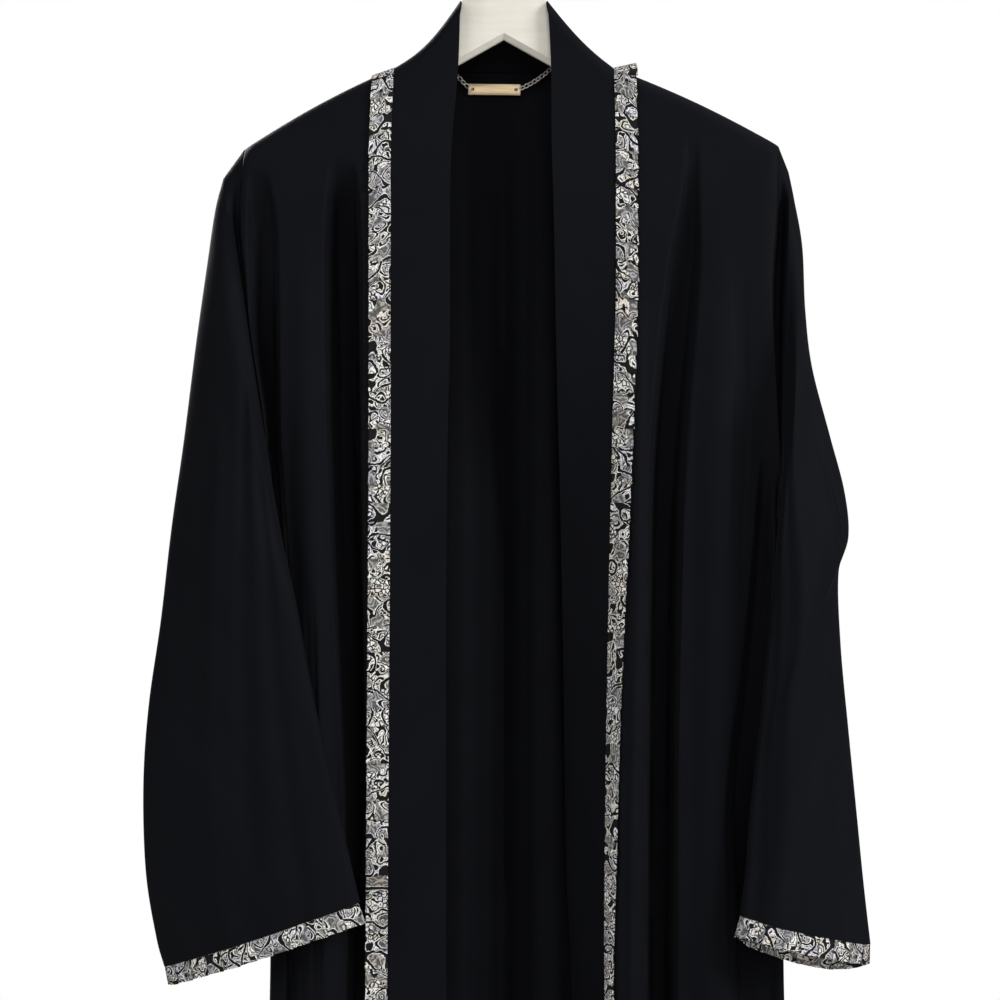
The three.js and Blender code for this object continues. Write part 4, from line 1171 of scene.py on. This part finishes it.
# %% Wire of the hook
WIRE, HOOK_RADIUS, WIRE_SIDES = 4, 24, 20
HOOK_CENTRE = (0, 0, (WIRE / 2 - HOOK_RADIUS) * MM)
STEM_TURN = math.radians(39.4)  # how far the stem leans before it joins the round of the hook
STEM_RADIUS, STEM_FOOT, STEM_BEND = 20, HANGER_TOP + SEAM, HANGER_TOP + 10
STEM_LONG = 22.0
HOOK_END = math.radians(196)


def fill_openings():
    bpy.ops.mesh.select_all(action="DESELECT")
    bpy.ops.mesh.select_mode(type="EDGE")
    bpy.ops.mesh.select_non_manifold()
    bpy.ops.mesh.edge_face_add()
    bpy.ops.mesh.select_all(action="SELECT")
    bpy.ops.mesh.normals_make_consistent(inside=False)
    bpy.ops.mesh.select_mode(type="VERT")


def pull(step, way):
    """Extrudes the selected face by a step in mm along a way."""
    value = tuple(step * MM * share for share in way)
    bpy.ops.mesh.extrude_region_move(TRANSFORM_OT_translate={"value": value})


deselect()
bpy.ops.mesh.primitive_circle_add(
    vertices=WIRE_SIDES, radius=WIRE / 2 * MM, fill_type="NGON", location=(0, 0, STEM_FOOT * MM)
)
hook = bpy.context.object
hook.name = "hook_wire"
bpy.ops.object.transform_apply(location=True, rotation=True, scale=True)
mode("EDIT")
bpy.ops.mesh.select_all(action="SELECT")
pull(STEM_BEND - STEM_FOOT, (0, 0, 1))
bpy.ops.mesh.spin(steps=8, angle=-STEM_TURN, center=(STEM_RADIUS * MM, 0, STEM_BEND * MM), axis=(0, 1, 0))
pull(STEM_LONG, (math.sin(STEM_TURN), 0, math.cos(STEM_TURN)))
bpy.ops.mesh.spin(steps=52, angle=HOOK_END + STEM_TURN, center=HOOK_CENTRE, axis=(0, 1, 0))
ahead = (-math.sin(HOOK_END), 0, math.cos(HOOK_END))
tip = [HOOK_RADIUS * math.cos(HOOK_END) * MM, 0, HOOK_CENTRE[2] + HOOK_RADIUS * math.sin(HOOK_END) * MM]
for step, width in ((0.9, 0.89), (0.65, 0.72), (0.35, 0.5)):
    pull(step, ahead)
    tip = [a + step * MM * s for a, s in zip(tip, ahead)]
    bpy.ops.transform.resize(value=(width, width, width), center_override=tip)
fill_openings()
mode("OBJECT")
sharp_rims(hook, 40)
settle(hook, "hanger_hook", steel)
print("Hook:", len(hook.data.polygons), "faces")

# %% [markdown]
# ## Plate and chain of the label
# A thin bare metal plate hangs inside the back neck on two lengths of fine chain. The plate
# is a block with a hole near each end. One link of chain is a stretched ring; it is copied
# along the chain, and each is turned against the one before, as in a curb chain.

# %% Gold and chain metal
gold = hard_finish(
    "plate_gold", (40.0, 900.0, 900.0), (2.0, 3.0),
    [(0.3, (0.70, 0.53, 0.31)), (0.7, (0.86, 0.67, 0.42))], (0.1, 0.0001),
    Metallic=0.45, Roughness=0.42,
)
silver = hard_finish(
    "chain_metal", (1.0, 1.0, 1.0), (400.0, 2.0),
    [(0.35, (0.66, 0.57, 0.52)), (0.7, (0.88, 0.82, 0.79))], Metallic=0.6, Roughness=0.3,
)
print("Label finishes:", gold.name, silver.name)

# %% Plate
PLATE_LONG, PLATE_HIGH, PLATE_THICK, PLATE_LEAN = 40.5, 8.5, 1.2, 0.012
PLATE_PLACE = (-7.4, 35.2, -157.6)
HOLE_FROM_MIDDLE, HOLE = 16.8, 2.6

deselect()
bpy.ops.mesh.primitive_cube_add(size=1)
plate = bpy.context.object
plate.name = "label_plate_bare"
plate.scale = (PLATE_LONG * MM, PLATE_THICK * MM, PLATE_HIGH * MM)
bpy.ops.object.transform_apply(location=True, rotation=True, scale=True)
select_edges(plate.data, lambda a, b: abs(a.y - b.y) > 1e-5)
bevel_selected(0.4, 3)
select_edges(plate.data, lambda a, b: abs(a.y - b.y) < 1e-6)
bevel_selected(0.22, 2)
for sign in SIGN.values():
    deselect()
    bpy.ops.mesh.primitive_cylinder_add(
        vertices=24, radius=HOLE / 2 * MM, depth=6 * MM, location=(sign * HOLE_FROM_MIDDLE * MM, 0, 0),
        rotation=(math.pi / 2, 0, 0),
    )
    drill = bpy.context.object
    hole = plate.modifiers.new("hole", "BOOLEAN")
    hole.operation = "DIFFERENCE"
    hole.solver = "EXACT"
    hole.object = drill
    deselect()
    plate.select_set(True)
    bpy.context.view_layer.objects.active = plate
    bpy.ops.object.modifier_apply(modifier="hole")
    bpy.data.objects.remove(drill)
plate.rotation_euler = (0, PLATE_LEAN, 0)
plate.location = tuple(n * MM for n in PLATE_PLACE)
bpy.ops.object.transform_apply(location=True, rotation=True, scale=True)
sharp_rims(plate, 30)
settle(plate, "label_plate", gold)
print("Plate:", len(plate.data.polygons), "faces")

# %% Chain
LINK_STEP, LINK_WIRE, LINK_ROUND, LINK_LONG, LINK_TURN = 3.5, 0.52, 1.45, 2.0, math.radians(30)
LINK_FROM_HOLE = 1.7


def hole_place(way):
    """Where the last link's middle lies: its inner end passes through the plate's hole."""
    x = way * (HOLE_FROM_MIDDLE + LINK_FROM_HOLE)
    return (PLATE_PLACE[0] + x, PLATE_PLACE[1], PLATE_PLACE[2] - x * math.sin(PLATE_LEAN))


CHAIN_PATHS = {
    "right": [(-39.0, 34.6, -143.5), (-35.6, 34.4, -147.6), (-31.0, 34.7, -152.4), hole_place(-1)],
    "left": [(37.5, 34.6, -140.5), (31.5, 34.4, -145.8), (22.0, 34.7, -152.4), hole_place(1)],
}


def evenly_along(points, step):
    """Places a step apart on a smooth line through the points, and the line's way there."""
    points = np.array(points, float)
    rows = np.column_stack([np.arange(len(points)), points])
    at = np.linspace(0, len(points) - 1, 400)
    line = np.column_stack([read(rows, n, at) for n in (1, 2, 3)])
    far = np.concatenate([[0], np.cumsum(np.linalg.norm(np.diff(line, axis=0), axis=1))])
    steps = np.linspace(0, far[-1], round(far[-1] / step) + 1)
    places = np.column_stack([np.interp(steps, far, line[:, n]) for n in range(3)])
    return places, np.gradient(places, axis=0)


deselect()
bpy.ops.mesh.primitive_torus_add(
    major_radius=LINK_ROUND * MM, minor_radius=LINK_WIRE * MM, major_segments=16, minor_segments=6
)
link = bpy.context.object
link.scale = (LINK_LONG / LINK_ROUND, 1, 1)
bpy.ops.object.transform_apply(location=True, rotation=True, scale=True)
link_points = np.array([v.co for v in link.data.vertices])
link_faces = np.array([f.vertices for f in link.data.polygons])
bpy.data.objects.remove(link)
for side, route in CHAIN_PATHS.items():
    places, ways = evenly_along(route, LINK_STEP)
    points, faces = [], []
    for n, (at, way) in enumerate(zip(places, ways)):
        way = unit(way)
        across = unit(np.cross(way, (0, 1, 0)))
        outer = np.cross(across, way)
        roll = LINK_TURN if n % 2 else -LINK_TURN
        first = across * math.cos(roll) + outer * math.sin(roll)
        second = np.cross(way, first)
        faces.append(link_faces + sum(len(p) for p in points))
        points.append(link_points @ np.array([way, first, second]) + at * MM)
    mesh = bpy.data.meshes.new(f"label_chain_{side}_links")
    mesh.from_pydata(np.concatenate(points).tolist(), [], np.concatenate(faces).tolist())
    mesh.shade_smooth()
    chain = bpy.data.objects.new(mesh.name, mesh)
    bpy.context.collection.objects.link(chain)
    settle(chain, f"label_chain_{side}", silver)
    print(chain.name, len(places), "links")

# %% [markdown]
# ## What each sheet was cut from
# Every piece of cloth is declared with its flat size, and the area of its finished shape
# is printed beside the size of the cloth that it was cut from.

# %% Sheets
# Width and length of the rectangle that each piece was cut from, its flat area in square
# metres where it isn't the whole rectangle, and how it is held.
CUTS = {
    "front_right": (0.190, 1.42, 0.248, "hung"), "front_left": (0.220, 1.42, 0.290, "hung"),
    "back": (0.520, 1.43, 0.660, "hung"),
    "band_right": (0.072, 1.47, 0.065, "hung"), "band_left": (0.070, 1.47, 0.0605, "hung"),
    "band_neck": (0.220, 0.074, 0.0092, "hung"),
    "sleeve_right": (0.320, 0.61, 0.125, "hung"), "sleeve_left": (0.240, 0.61, 0.090, "hung"),
    "trim_right": (0.0165, 2.26, None, "gathered"), "trim_left": (0.0165, 2.27, None, "gathered"),
    "trim_neck": (0.0165, 0.304, None, "gathered"),
    "cuff_trim_right": (0.0145, 0.543, None, "gathered"), "cuff_trim_left": (0.0145, 0.404, None, "gathered"),
}


for node, (wide, long, area, held) in CUTS.items():
    print(node, "measures", round(areas[node], 4), "m2, cut from", wide, "x", long, "m")
